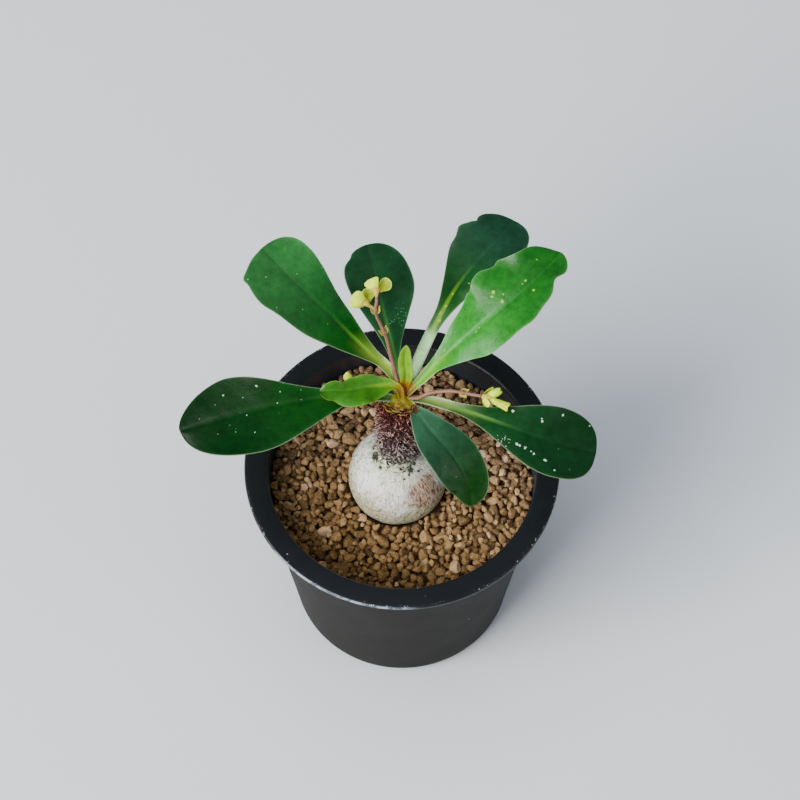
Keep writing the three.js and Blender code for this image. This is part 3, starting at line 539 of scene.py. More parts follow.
def potFinish():
    material, tree, shader = finish("blackPlastic")
    top, lipRadius = pot["height"], pot["lipRadius"]
    place = objectPlace(tree)
    x, y, z = separated(tree, place)
    radius = calc(tree, "SQRT", plus(tree, times(tree, x, x), times(tree, y, y)))
    lip = ranged(tree, z, (lipUnderside - 1) * mm, (lipUnderside + 1.5) * mm)
    # the inner wall is what lies well within the cone of the outer wall
    slope = (pot["wallTopRadius"] - pot["baseRadius"]) / lipUnderside
    within = calc(tree, "SUBTRACT", scaled(tree, z, slope, pot["baseRadius"] * mm), radius)
    inner = times(tree, ranged(tree, within, 0.8 * mm, 1.4 * mm),
                  ranged(tree, z, (top - 0.2) * mm, (top - 1.2) * mm))
    smoothed = most(tree, lip, inner)
    cloud = noiseOf(tree, place, 55, 4, 0.6)
    fine = noiseOf(tree, place, 900, 3, 0.6)
    body, rim, inside = (mixColour(tree, cloud, *pot[key]) for key in ("body", "rim", "inside"))
    # the inner wall takes the paler inside colours: a painted sheen
    colour = mixColour(tree, inner, mixColour(tree, lip, body, rim), inside)
    # dust and scuffs, mostly along the lip's outer edge, and a bright line on that edge at the front left,
    # partly wear and partly a painted highlight
    edge = times(tree, ranged(tree, radius, (lipRadius - 1.3) * mm, (lipRadius - 0.2) * mm),
                 ranged(tree, z, (top - 3) * mm, (top - 1) * mm))
    scuffed = times(tree, edge, ranged(tree, noiseOf(tree, place, 130, 3), 0.42, 0.62))
    dust = most(tree, times(tree, specks(tree, place, 1900, 0.36, 0.5), scuffed),
                times(tree, specks(tree, place, 700, 0.12, 0.24), edge),
                times(tree, specks(tree, place, 420, 0.05, 0.12), 0.6))
    towardsX, towardsY = pot["glintTowards"]
    facing = calc(tree, "DIVIDE", scaled(tree, x, towardsX, times(tree, y, towardsY)), radius)
    # partly wear, partly a painted highlight: a bright broken line on the lip's outer edge
    line = times(tree, ranged(tree, facing, 0.84, 0.95),
                 ranged(tree, radius, (lipRadius - 0.5) * mm, (lipRadius - 0.15) * mm),
                 ranged(tree, z, (top - 2) * mm, (top - 1) * mm),
                 ranged(tree, noiseOf(tree, place, 420, 3), 0.36, 0.58, 0.15, 0.8))
    colour = mixColour(tree, times(tree, dust, 0.75), colour, pot["dust"])
    feed(tree, shader.inputs["Base Color"], mixColour(tree, line, colour, pot["glintAndWear"]))
    rough = scaled(tree, cloud, 0.2, scaled(tree, smoothed, -0.22, 0.5))
    feed(tree, shader.inputs["Roughness"], plus(tree, rough, times(tree, dust, 0.3)))
    feed(tree, shader.inputs["Specular IOR Level"], scaled(tree, smoothed, 0.36, 0.08))
    relief(tree, shader, plus(tree, fine, times(tree, cloud, 2)), 0.035, 0.6)
    return material


def cutFrom(piece, points, faces):
    cutter = makeMesh("cutter", points, faces)
    modifier = piece.modifiers.new("cut", "BOOLEAN")
    modifier.operation = "DIFFERENCE"
    modifier.solver = "EXACT"
    modifier.object = cutter
    bake(piece)
    bpy.data.objects.remove(cutter)


def makePot():
    slope = math.degrees(math.atan((pot["wallTopRadius"] - pot["baseRadius"]) / lipUnderside))
    corner, inner = pot["cornerRadius"], pot["innerCorner"]
    lipEdge, mouthEdge = pot["lipEdge"], pot["mouthEdge"]
    top = pot["height"]
    wall = [(outerRadius(z), z) for z in np.linspace(corner + 4, lipUnderside - 1.2, 24)]
    points, faces = turned([
        (0, 0), *[(r, 0) for r in (8, 16, 24)],
        *arc(outerRadius(corner) - corner, corner, corner, -90, -slope, 10),
        *wall,
        *arc(pot["wallTopRadius"] + 1, lipUnderside - 0.9, 1, 180, 120, 4),  # hollow under the lip
        (pot["wallTopRadius"] + pot["lipFoot"], lipUnderside + pot["lipFoot"] / 2),
        *arc(pot["lipRadius"] - lipEdge, top - lipEdge, lipEdge, -30, 90, 9),
        (pot["lipRadius"] - 2.4, top + 0.05),
        (mixed(pot["mouthRadius"], pot["lipRadius"], 0.5), top + 0.06),
        (pot["mouthRadius"] + 2.6, top + 0.03),
        *arc(pot["mouthRadius"] + mouthEdge, top - mouthEdge, mouthEdge, 90, 180, 7),
        *[(innerRadius(z) + (pot["mouthRadius"] - innerRadius(z)) * smooth((z - soilFoot) / 9), z)
          for z in np.linspace(top - mouthEdge - 1, soilFoot, 10)],
        *arc(innerRadius(pot["floor"]) - inner, pot["floor"] + inner, inner, -slope, -90, 6),
        (0, pot["floor"]),
    ], pot["segments"])
    piece = makeMesh("pot_turned", points, faces, potFinish())
    hole, groove = pot["hole"], pot["groove"]
    cutters = []
    for k in range(hole["count"]):
        angle = 2 * math.pi * (k + 0.5) / hole["count"]
        centre = (hole["ring"] * math.cos(angle), hole["ring"] * math.sin(angle))
        drill = [(0, -2), (hole["radius"], -2), (hole["radius"], 2 * pot["floor"]), (0, 2 * pot["floor"])]
        cutters.append(turned(drill, 40, centre))
    cutFrom(piece, *joined(*cutters))
    cutters = []
    for k in range(groove["count"]):
        angle = 2 * math.pi * k / groove["count"] + math.pi / 2
        ahead = np.array([math.cos(angle), math.sin(angle), 0])
        aside = np.array([-math.sin(angle), math.cos(angle), 0]) * groove["width"] / 2
        up = np.array([0, 0, groove["depth"]])
        loops = [[ahead * reach + aside * a + up * b for a, b in ((-1, -1), (1, -1), (1, 1), (-1, 1))]
                 for reach in (groove["start"], groove["start"] + pot["baseRadius"])]
        cutters.append(loft(loops))
    cutFrom(piece, *joined(*cutters))
    piece.data.set_sharp_from_angle(angle=math.radians(38))
    dress(piece, "pot", "pot")


def screenFinish():
    material, tree, shader = finish("screenPlastic", roughness=0.6, specular=0.4)
    grain = noiseOf(tree, objectPlace(tree), 700, 3)
    feed(tree, shader.inputs["Base Color"], mixColour(tree, grain, *pot["screen"]))
    relief(tree, shader, grain, 0.05, 0.5)
    return material


makePot()
screenNode = frame["nodes"]["drain_screen"]
screenNode.data.materials.clear()
screenNode.data.materials.append(screenFinish())
print("pot ready")


# Caudex

caudex = {
    "centre": (-1.4, 0.3, 74.5), "radius": 15.8, "taprootTip": 34, "around": 160, "rings": 90,
    # the scale and height of its lumps, the height of its ribs, and how far it draws in for them
    "lumps": ((0.11, 0.35), (0.5, 0.08)), "ribs": 0.14, "inset": 0.1,
    "bark": (rgb(255, 255, 255), rgb(236, 240, 228)), "warm": rgb(230, 216, 204),
    "mottle": rgb(198, 190, 160), "streak": rgb(120, 106, 76), "grit": rgb(92, 78, 54),
    "fleck": rgb(92, 78, 66), "green": rgb(176, 190, 130), "black": rgb(14, 19, 18),
    "lowTan": (rgb(190, 182, 140), rgb(116, 102, 62)), "rust": (rgb(104, 58, 32), rgb(200, 168, 142)),
    # heights between which the lower tan and the green come in, and the rust's place and reach
    "tanned": (84.5, 76), "greened": (85, 90), "rustPlace": (7.2, -9.6, 82.8), "rusted": (8.2, 3.2),
    # black algae near the foot of the stem: where, and how large
    "algae": [((-8.3, -0.2, 88.7), 2.1), ((-5.6, -1.3, 89.6), 1.4), ((-8.5, 3.3, 88.3), 1.1),
              ((-6.8, -4.2, 88.7), 0.9), ((-2.8, -2.5, 90), 1.1), ((-1.6, -5.6, 89.2), 1.2),
              ((0.5, -5.4, 89.1), 0.9), ((2.7, -5.2, 88.7), 1.5), ((0.6, -7.8, 87.9), 0.6),
              ((3.4, -2.8, 89.2), 1.0), ((5.3, -4.9, 87.8), 0.6), ((-4.4, -0.4, 90), 1.1)],
}


def caudexProfile(clearance, steps):
    z = caudex["centre"][2]
    radius = caudex["radius"] + clearance
    globe = arc(0, z, radius, 90, -42, steps)
    lastRadius, lastZ = globe[-1]
    root = [(lastRadius * (1 - k) ** 1.4 + 1.5 * clearance, mixed(lastZ, caudex["taprootTip"], k))
            for k in (0.1, 0.2, 0.3, 0.45, 0.6, 0.75, 0.9)]
    return [(0, z + radius), *globe[1:], *root, (0, caudex["taprootTip"] - 5 * clearance)]


def caudexFinish():
    material, tree, shader = finish("caudexBark", roughness=0.72, specular=0.3)
    place = objectPlace(tree)
    # streaks run down the globe: their noise changes fast round its axis and slowly with the height
    axisX, axisY, _ = caudex["centre"]
    x, y, z = separated(tree, vectorCalc(tree, "SUBTRACT", place, (axisX * mm, axisY * mm, 0)))
    around = vectorCalc(tree, "NORMALIZE", add(tree, "ShaderNodeCombineXYZ", x, y, 0))
    rise = add(tree, "ShaderNodeCombineXYZ", 0, 0, times(tree, z, 22))
    fields = {
        "streak": noiseOf(tree, vectorCalc(tree, "ADD", around, rise), 24, 5, 0.7),
        "warm": noiseOf(tree, place, 60, 2),
        "mottle": noiseOf(tree, place, 290, 5, 0.7),
        "grit": noiseOf(tree, place, 1100, 3, 0.7),
    }
    streaks, grit = fields["streak"], fields["grit"]
    colour = mixColour(tree, ranged(tree, noiseOf(tree, place, 130, 5, 0.65), 0.4, 0.66), *caudex["bark"])
    for key, low, high, share in (("warm", 0.5, 0.62, 0.4), ("mottle", 0.52, 0.58, 0.6),
                                  ("streak", 0.58, 0.61, 0.85), ("grit", 0.61, 0.64, 0.9)):
        colour = mixColour(tree, ranged(tree, fields[key], low, high, 0, share), colour, caudex[key])
    wobble = scaled(tree, noiseOf(tree, place, 300, 5, 0.75), 16 * mm, -8 * mm)
    wobble = plus(tree, wobble, scaled(tree, streaks, 10 * mm, -5 * mm))
    level = plus(tree, z, wobble)
    # darker tan towards the soil line, a rusty patch low on the right
    lowTan = mixColour(tree, ranged(tree, grit, 0.4, 0.6), *caudex["lowTan"])
    colour = mixColour(tree, ranged(tree, level, *metres(caudex["tanned"]), 0, 0.8), colour, lowTan)
    fromPatch = vectorCalc(tree, "DISTANCE", place, Vector(caudex["rustPlace"]) * mm)
    rusty = ranged(tree, scaled(tree, wobble, 0.6, fromPatch), *metres(caudex["rusted"]), 0, 0.92)
    rust = mixColour(tree, ranged(tree, streaks, 0.42, 0.56), *caudex["rust"])
    colour = mixColour(tree, rusty, colour, rust)
    # green and black algae round the foot of the stem
    green = ranged(tree, level, *metres(caudex["greened"]), 0, 0.6)
    colour = mixColour(tree, green, colour, caudex["green"])
    uneven = scaled(tree, noiseOf(tree, place, 1100, 3, 0.65), 3.2, -1.6)
    spots = [(Vector(spot) * mm, radius * mm) for spot, radius in caudex["algae"]]
    black = blotches(tree, place, spots, uneven, 0.4)
    flecks = specks(tree, place, 330, 0.3, 0.13)
    colour = mixColour(tree, times(tree, flecks, 0.7), colour, caudex["fleck"])
    colour = mixColour(tree, times(tree, black, 0.95), colour, caudex["black"])
    feed(tree, shader.inputs["Base Color"], colour)
    relief(tree, shader, plus(tree, times(tree, streaks, 1.2), times(tree, grit, 0.6)), 0.7, 0.9)
    return material


def makeCaudex():
    points, faces = turned(caudexProfile(0, caudex["rings"]), caudex["around"], caudex["centre"][:2])
    centre = np.array(caudex["centre"])
    outward = unit(points - centre)
    lumps = np.array([sum(noise.noise(Vector(p) * scale) * height for scale, height in caudex["lumps"])
                      for p in points])
    angles = np.arctan2(points[:, 1] - centre[1], points[:, 0] - centre[0])
    ribs = np.array([noise.noise(Vector((math.cos(a) * 5, math.sin(a) * 5, p[2] * 0.05))) * caudex["ribs"]
                     for a, p in zip(angles, points)])
    points = points + outward * (lumps + ribs - caudex["inset"])[:, None]
    dress(makeMesh("caudex_globe", points, faces, caudexFinish()), "caudex", "caudex")


makeCaudex()
print("caudex ready")


# Soil: a bed under a heap of granules, in their darkest tone as painted shade in the gaps between them

def bedLevel(x, y):
    angle = math.radians(soil["bankAzimuth"])
    towards = (x * math.cos(angle) + y * math.sin(angle)) / pot["mouthRadius"]
    return soil["level"] + soil["bankRise"] * np.maximum(0, towards) ** 2


def soilFinish():
    material, tree, shader = finish("granuleEarth", roughness=0.92, specular=0.2)
    place = objectPlace(tree)
    grain = noiseOf(tree, place, 1900, 3, 0.7)
    blotch = noiseOf(tree, place, 620, 2)
    pores = specks(tree, place, 2400, 0.4, 0.4)
    colour = rampOf(tree, attribute(tree, "tone"), soil["tones"])
    colour = mixColour(tree, ranged(tree, blotch, 0.35, 0.7, 0, 0.45), colour, soil["blotch"])
    colour = mixColour(tree, ranged(tree, grain, 0.52, 0.7, 0, 0.45), colour, soil["grain"])
    colour = mixColour(tree, times(tree, pores, 0.4), colour, soil["pore"])
    # painted light and shade: paler and greyer towards the back and the right, darker towards the front and
    # the left
    rule = soil["pale"]
    x, y, _ = separated(tree, place)
    pale = scaled(tree, x, rule["right"] / mm, scaled(tree, y, rule["back"] / mm, rule["middle"]))
    pale = most(tree, calc(tree, "MINIMUM", pale, rule["most"]), rule["least"])
    colour = shifted(tree, colour, Saturation=scaled(tree, pale, -0.14, 1.14), Value=pale)
    feed(tree, shader.inputs["Base Color"], colour)
    relief(tree, shader, calc(tree, "SUBTRACT", plus(tree, grain, blotch), pores), 0.3, 0.9)
    return material


def makeBed(material):
    # a solid bed with a hole that fits the caudex: up the hole and out over the top
    count, gap = soil["bedAround"], soil["clearance"]
    axis = np.array(caudex["centre"][:2])
    level = soil["level"] - soil["bedDrop"]
    hole = [(r, z) for r, z in caudexProfile(gap, 24)[::-1] if z < level]
    loops = [ring(r, z, count, axis) for r, z in hole[1:]]
    inner, outer = hole[-1][0], innerRadius(level) - gap
    for share in np.linspace(0.02, 1, 16):
        loop = ring(mixed(inner, outer, share), 0, count, axis * (1 - share))
        loop[:, 2] = [bedLevel(x, y) - soil["bedDrop"] * min(1, 8 * (1 - share) + 0.6)
                      + soil["bedLumps"] * noise.noise(Vector((x, y, 0)) * 0.4) for x, y, _ in loop]
        loops.append(loop)
    # down the wall, and in over the drain screen
    bottom = pot["floor"] + soil["bottomGap"]
    above = bottom + soil["screenRecess"]
    loops += [ring(innerRadius(z) - gap, z, count) for z in soil["bedHeights"]]
    loops += [ring(innerRadius(bottom) - pot["innerCorner"], bottom, count),
              ring(soil["screenRadius"], bottom, count), ring(soil["screenRadius"], above, count)]
    points, faces = loft(loops, np.array([*axis, hole[0][1]]), np.array([0, 0, above]))
    # the bed takes the darkest tone: painted shade seen between the granules
    piece = makeMesh("soil_bed", points, faces, material, tone=np.zeros(len(points)))
    dress(piece, "soil", "soil")


def packGranules(draw):
    # each granule settles in the lowest of a few places drawn at random
    cell, settle = soil["cell"], soil["settle"]
    side = np.arange(-pot["mouthRadius"] - 1, pot["mouthRadius"] + 1, cell)
    gridX, gridY = np.meshgrid(side, side, indexing="ij")
    ground = bedLevel(gridX, gridY) - soil["fill"]
    x, y, z = caudex["centre"]
    fromAxis = np.hypot(gridX - x, gridY - y)
    globe = z + np.sqrt(np.maximum(0, (caudex["radius"] + soil["globeGap"]) ** 2 - fromAxis ** 2))
    ground = np.where(fromAxis < caudex["radius"], np.maximum(ground, globe), ground)
    beyond = np.hypot(gridX, gridY) > pot["mouthRadius"] - soil["wallGap"]
    ground = np.where(beyond, soil["outside"], ground)
    found, missed = [], 0
    while missed < soil["misses"]:
        pick, smallest, largest = draw.random(), 0, 0
        for share, smallest, largest in soil["sizes"]:
            pick -= share
            if pick < 0:
                break
        radius = draw.uniform(smallest, largest)
        best = None
        for _ in range(soil["tries"]):
            reach = (pot["mouthRadius"] - soil["wallShare"] * radius) * math.sqrt(draw.random())
            angle = draw.uniform(0, 2 * math.pi)
            px, py = reach * math.cos(angle), reach * math.sin(angle)
            i, j = (int(np.searchsorted(side, v)) for v in (px, py))
            k = int(radius / cell) + 1
            window = (slice(max(0, i - k), i + k + 1), slice(max(0, j - k), j + k + 1))
            distance = (gridX[window] - px) ** 2 + (gridY[window] - py) ** 2
            cap = np.sqrt(np.maximum(0, radius ** 2 - distance))
            rest = np.max(np.where(distance < radius ** 2, ground[window] + settle * cap, 0))
            over = rest - bedLevel(px, py)
            if best is None or over < best[0]:
                best = (over, px, py, rest, window, distance, cap)
        over, px, py, rest, window, distance, cap = best
        if over + radius > soil["top"]:
            missed += 1
            continue
        missed = 0
        covered = np.where(distance < radius ** 2, rest + settle * cap, 0)
        ground[window] = np.maximum(ground[window], covered)
        found.append((px, py, rest, radius))
    return found


def pebble(draw, name):
    # a ball cut by a few random planes and flattened a little
    shape = bmesh.new()
    bmesh.ops.create_icosphere(shape, subdivisions=2, radius=1)
    stretch = Vector([draw.uniform(*span) for span in soil["stretch"]])
    planes = [(Vector([draw.gauss(0, 1) for _ in range(3)]).normalized(), draw.uniform(*soil["cutDepth"]))
              for _ in range(soil["cuts"])]
    for vertex in shape.verts:
        for normal, distance in planes:
            beyond = vertex.co.dot(normal) - distance
            if beyond > 0:
                vertex.co -= normal * beyond
        vertex.co *= 1 + 0.1 * noise.noise(vertex.co * 1.7 + Vector((draw.random(), 0, 0)))
        vertex.co = vertex.co * stretch * soil["grow"]
    mesh = bpy.data.meshes.new(name)
    shape.to_mesh(mesh)
    shape.free()
    mesh.transform(((mm, 0, 0, 0), (0, mm, 0, 0), (0, 0, mm, 0), (0, 0, 0, 1)))
    mesh.shade_smooth()
    mesh.set_sharp_from_angle(angle=math.radians(soil["edgeAngle"]))
    return bpy.data.objects.new(name, mesh)


def randomValue(tree, low, high, seed=0, whole=False):
    made = tree.nodes.new("FunctionNodeRandomValue")
    made.data_type = "INT" if whole else "FLOAT"
    first, output = (4, 2) if whole else (2, 1)
    for index, value in ((first, low), (first + 1, high)):
        feed(tree, made.inputs[index], value)
    feed(tree, made.inputs["Seed"], seed)
    return made.outputs[output]


def placeShapes(tree, points, shapes, shapeCount, pickSeed, turn, scale):
    picked = randomValue(tree, 0, shapeCount - 1, pickSeed, whole=True)
    shapes = add(tree, "GeometryNodeCollectionInfo", shapes, True, True)
    return add(tree, "GeometryNodeInstanceOnPoints", named={
        "Points": points, "Instance": shapes, "Pick Instance": True, "Instance Index": picked,
        "Rotation": turn, "Scale": scale})


def endTree(tree, placed, material, result):
    real = add(tree, "GeometryNodeRealizeInstances", placed)
    feed(tree, result, add(tree, "GeometryNodeSetMaterial", named={"Geometry": real, "Material": material}))


def granuleTree():
    # places one of several shapes on each point, by the point's own turn, size and tone
    tree, given, result = group(
        "granules", "GeometryNodeTree",
        [("Points", "Geometry", None), ("Shapes", "Collection", None),
         ("Scale", "Float", 1), ("Seed", "Int", 3), ("Material", "Material", None)],
        [("Granules", "Geometry")])
    size = add(tree, "GeometryNodeInputNamedAttribute", "size", data_type="FLOAT")
    turn = add(tree, "GeometryNodeInputNamedAttribute", "turn", data_type="FLOAT_VECTOR")
    placed = placeShapes(tree, given["Points"], given["Shapes"], soil["shapes"], given["Seed"],
                         add(tree, "FunctionNodeEulerToRotation", turn), times(tree, size, given["Scale"]))
    endTree(tree, placed, given["Material"], result["Granules"])
    return tree


def runTree(piece, tree, **values):
    # sets the modifier's inputs by their identifiers, then keeps what it makes as a plain mesh
    modifier = piece.modifiers.new(tree.name, "NODES")
    modifier.node_group = tree
    sockets = {item.name: item.identifier for item in tree.interface.items_tree if item.in_out == "INPUT"}
    for key, value in values.items():
        modifier[sockets[key]] = value
    piece.update_tag()
    bpy.context.view_layer.update()
    return bake(piece)


def makeShapes(name, makeOne, count, draw):
    shapes = bpy.data.collections.new(name)
    for k in range(count):
        shapes.objects.link(makeOne(draw, f"{name}{k}"))
    return shapes


def dropShapes(shapes):
    for shape in list(shapes.objects):
        bpy.data.objects.remove(shape)
    bpy.data.collections.remove(shapes)


def makeSoil():
    material = soilFinish()
    makeBed(material)
    draw = random.Random(soil["seed"])
    found = packGranules(draw)
    print(f"soil: {len(found)} granules settled")
    shapes = makeShapes("pebble", pebble, soil["shapes"], draw)
    points = [place[:3] for place in found]
    sizes = [place[3] for place in found]
    tilt = soil["tilt"]
    turns = [(draw.gauss(0, tilt), draw.gauss(0, tilt), draw.uniform(0, 6.283)) for _ in found]
    tones = [min(1, max(soil["leastTone"], draw.gauss(*soil["tone"]))) for _ in found]
    piece = makeMesh("granules", points, [], size=sizes, turn=turns, tone=tones)
    runTree(piece, granuleTree(), Shapes=shapes, Scale=1.0, Seed=3, Material=material)
    dropShapes(shapes)
    dress(piece, "soil", "soil")


makeSoil()
print("soil ready")


# Stem: a leaning column under dense bristles, with the crown on top

stem = {
    "foot": (-1.4, 0.3, 88.5), "apex": (-0.3, 8.9, 112.3), "coreRadius": 6.4, "crownRadius": 6.1,
    "crownHeight": 5, "footRadius": 5.6, "waist": 0.3, "lumps": 0.3, "crownLumps": 0.35,
    "around": 96, "rows": 70,
    # how far above the foot and below the apex the bristles begin, and over what height
    "bareFoot": (3, 1.4), "bareTop": (1.3, 1.2),
    # the crown's scales, with the azimuth of each and its drop below the apex
    "scaleSeed": 12, "scaleLength": (1.5, 2.2), "scaleRise": (0.5, 1.3), "scaleWidth": (2.2, 3.0),
    "scales": [(-176, 2.6), (-150, 2.2), (-128, 2.8), (-106, 2.1), (-88, 2.9), (-140, 1.2), (-100, 1.0),
               (-62, 2.4), (150, 2.6), (120, 2.8), (80, 2.6), (40, 2.8), (10, 2.4), (-25, 2.6)],
    "bristle": {"spacing": 0.34, "density": 7.5, "shortest": 0.7, "longest": 1.3, "lean": 0.35,
                "stray": 0.85, "seed": 4, "length": 1.9, "radius": 0.22, "taper": 0.85,
                "bend": (0.1, 0.35), "shapes": 4},
    # colours by the share of the way from the foot to the apex
    "tones": [(0.12, rgb(104, 94, 88)), (0.35, rgb(100, 78, 78)), (0.58, rgb(88, 54, 56)),
              (0.8, rgb(84, 30, 28)), (0.96, rgb(120, 56, 28))],
    # the core colour is painted shade: it darkens the skin between the bristles
    "core": rgb(18, 10, 11), "bare": rgb(196, 198, 172), "algae": rgb(16, 20, 18),
    "crown": (rgb(92, 96, 18), rgb(150, 146, 40)), "crownBrown": rgb(110, 62, 20),
    "darkBristle": rgb(24, 12, 14), "bristleEnds": (rgb(226, 212, 202), rgb(204, 158, 140)),
    "scale": (rgb(84, 92, 10), rgb(136, 140, 24)), "scaleBrown": rgb(112, 66, 26),
    "scaleEdge": rgb(168, 138, 72),
}
rosette = np.array([0.3, 9, 112.5])  # leaves, stalks and flowers are measured from here
foot, apex = np.array(stem["foot"]), np.array(stem["apex"], float)
stemLength = np.linalg.norm(apex - foot)
stemAxis = (apex - foot) / stemLength
stemSide = unit(np.array([1, 0, 0]) - stemAxis * stemAxis[0])
stemBack = np.cross(stemAxis, stemSide)


def roundStem(height, angle, distance):
    aside = np.multiply.outer(distance * np.cos(angle), stemSide)
    back = np.multiply.outer(distance * np.sin(angle), stemBack)
    return foot + np.multiply.outer(height, stemAxis) + aside + back


def crownRadiusAt(drop):
    x = np.clip(1 - drop / stem["crownHeight"], 0, 1)
    return stem["crownRadius"] * np.sqrt(1 - x * x)


def heightOnCaudex(angle, distance):
    beside = roundStem(np.zeros_like(angle), angle, distance) - np.array(caudex["centre"])
    along = beside @ stemAxis
    reach = caudex["radius"] - 0.3
    return -along + np.sqrt(along ** 2 - (beside ** 2).sum(-1) + reach ** 2)


def stemColours(tree):
    # the share of the way from the foot of the stem to its apex, and the colour there
    place = objectPlace(tree)
    fromFoot = vectorCalc(tree, "SUBTRACT", place, tuple(foot * mm))
    along = vectorCalc(tree, "DOT_PRODUCT", fromFoot, tuple(stemAxis / (stemLength * mm)))
    uneven = plus(tree, along, scaled(tree, noiseOf(tree, place, 300, 3, 0.6), 0.3, -0.15))
    return place, uneven, rampOf(tree, uneven, stem["tones"])


def coreFinish():
    material, tree, shader = finish("stemBark", roughness=0.85, specular=0.25)
    place, along, colour = stemColours(tree)
    # painted shade: the skin between the bristles is darkened towards the core colour
    colour = mixColour(tree, 0.75, colour, stem["core"])
    # bare pale skin at the foot, with algae on it, and an olive crown
    bare = ranged(tree, along, 0.27, 0.16)
    colour = mixColour(tree, bare, colour, stem["bare"])
    dark = ranged(tree, noiseOf(tree, place, 620, 4, 0.7), 0.5, 0.56)
    colour = mixColour(tree, times(tree, dark, bare), colour, stem["algae"])
    crown = mixColour(tree, noiseOf(tree, place, 520, 3), *stem["crown"])
    brown = ranged(tree, noiseOf(tree, place, 500, 3), 0.42, 0.66, 0, 0.6)
    crown = mixColour(tree, brown, crown, stem["crownBrown"])
    colour = mixColour(tree, ranged(tree, along, 0.88, 0.95), colour, crown)
    feed(tree, shader.inputs["Base Color"], colour)
    relief(tree, shader, noiseOf(tree, place, 1500, 3, 0.7), 0.25, 0.8)
    return material


def bristleFinish():
    material, tree, shader = finish("bristleHorn", roughness=0.55, specular=0.35)
    place, along, colour = stemColours(tree)
    tone, tip = attribute(tree, "tone"), attribute(tree, "tip")
    colour = mixColour(tree, ranged(tree, tone, 0.2, 0.6, 0.55, 0.0), colour, stem["darkBristle"])
    # pale ends on most bristles, and cream patches where whole bristles are pale
    share = ranged(tree, along, 0.1, 0.95, 0.5, 0.82)
    pale = times(tree, calc(tree, "GREATER_THAN", tone, share), ranged(tree, tip, 0.2, 0.8))
    patch = ranged(tree, noiseOf(tree, place, 420, 2), 0.63, 0.67, 0, 0.85)
    pale = most(tree, times(tree, pale, 0.65), patch)
    ends = mixColour(tree, ranged(tree, along, 0.2, 0.8), *stem["bristleEnds"])
    feed(tree, shader.inputs["Base Color"], mixColour(tree, pale, colour, ends))
    feed(tree, shader.inputs["Roughness"], scaled(tree, tone, 0.2, 0.45))
    return material


def bristle(draw, name):
    # a slim horn, bent a little, with its place along its length kept for the finish
    rule = stem["bristle"]
    bend = draw.uniform(*rule["bend"])
    loops, tips = [], []
    for share in (0, 0.35, 0.7):
        radius = rule["radius"] * (1 - rule["taper"] * share)
        loop = ring(radius, share * rule["length"], 4)
        loop[:, 0] += bend * share ** 2
        loops.append(loop)
        tips += [share] * 4
    points, faces = loft(loops, np.array([0, 0, -0.1]), np.array([bend, 0, rule["length"]]))
    mesh = bpy.data.meshes.new(name)
    mesh.from_pydata((points * mm).tolist(), [], faces)
    mesh.attributes.new("tip", "FLOAT", "POINT").data.foreach_set("value", [*tips, 0, 1])
    mesh.shade_smooth()
    return bpy.data.objects.new(name, mesh)


def bristleTree():
    # spreads bristles over the marked part of a surface, leaning up and straying at random
    tree, given, result = group(
        "bristles", "GeometryNodeTree",
        [("Surface", "Geometry", None), ("Shapes", "Collection", None),
         ("Spacing", "Float", 0.0004), ("Density", "Float", 1e6),
         ("Shortest", "Float", 0.8), ("Longest", "Float", 1.2),
         ("Lean", "Float", 0.3), ("Stray", "Float", 0.5),
         ("Seed", "Int", 1), ("Material", "Material", None)],
        [("Bristles", "Geometry")])
    marked = add(tree, "GeometryNodeInputNamedAttribute", "bristled", data_type="FLOAT")
    spread = tree.nodes.new("GeometryNodeDistributePointsOnFaces")
    spread.distribute_method = "POISSON"
    for key, value in {"Mesh": given["Surface"], "Distance Min": given["Spacing"], "Seed": given["Seed"],
                       "Density Max": given["Density"], "Density Factor": marked}.items():
        feed(tree, spread.inputs[key], value)
    low, high = (-1, -1, -1), (1, 1, 1)
    stray = add(tree, "FunctionNodeRandomValue", low, high, data_type="FLOAT_VECTOR")
    feed(tree, stray.node.inputs["Seed"], given["Seed"])
    stray = add(tree, "ShaderNodeVectorMath", operation="SCALE", named={0: stray, "Scale": given["Stray"]})
    lean = add(tree, "ShaderNodeVectorMath", operation="SCALE",
               named={0: tuple(stemAxis), "Scale": given["Lean"]})
    facing = vectorCalc(tree, "ADD", vectorCalc(tree, "ADD", spread.outputs["Normal"], lean), stray)
    turn = add(tree, "FunctionNodeAlignRotationToVector", named={"Vector": facing}, axis="Z")
    size = randomValue(tree, given["Shortest"], given["Longest"], given["Seed"])
    placed = placeShapes(
        tree, spread.outputs["Points"], given["Shapes"], stem["bristle"]["shapes"], 0, turn, size)
    tone = randomValue(tree, 0.0, 1.0, 9)
    toned = add(tree, "GeometryNodeStoreNamedAttribute", domain="INSTANCE", data_type="FLOAT",
                named={"Geometry": placed, "Name": "tone", "Value": tone})
    endTree(tree, toned, given["Material"], result["Bristles"])
    return tree


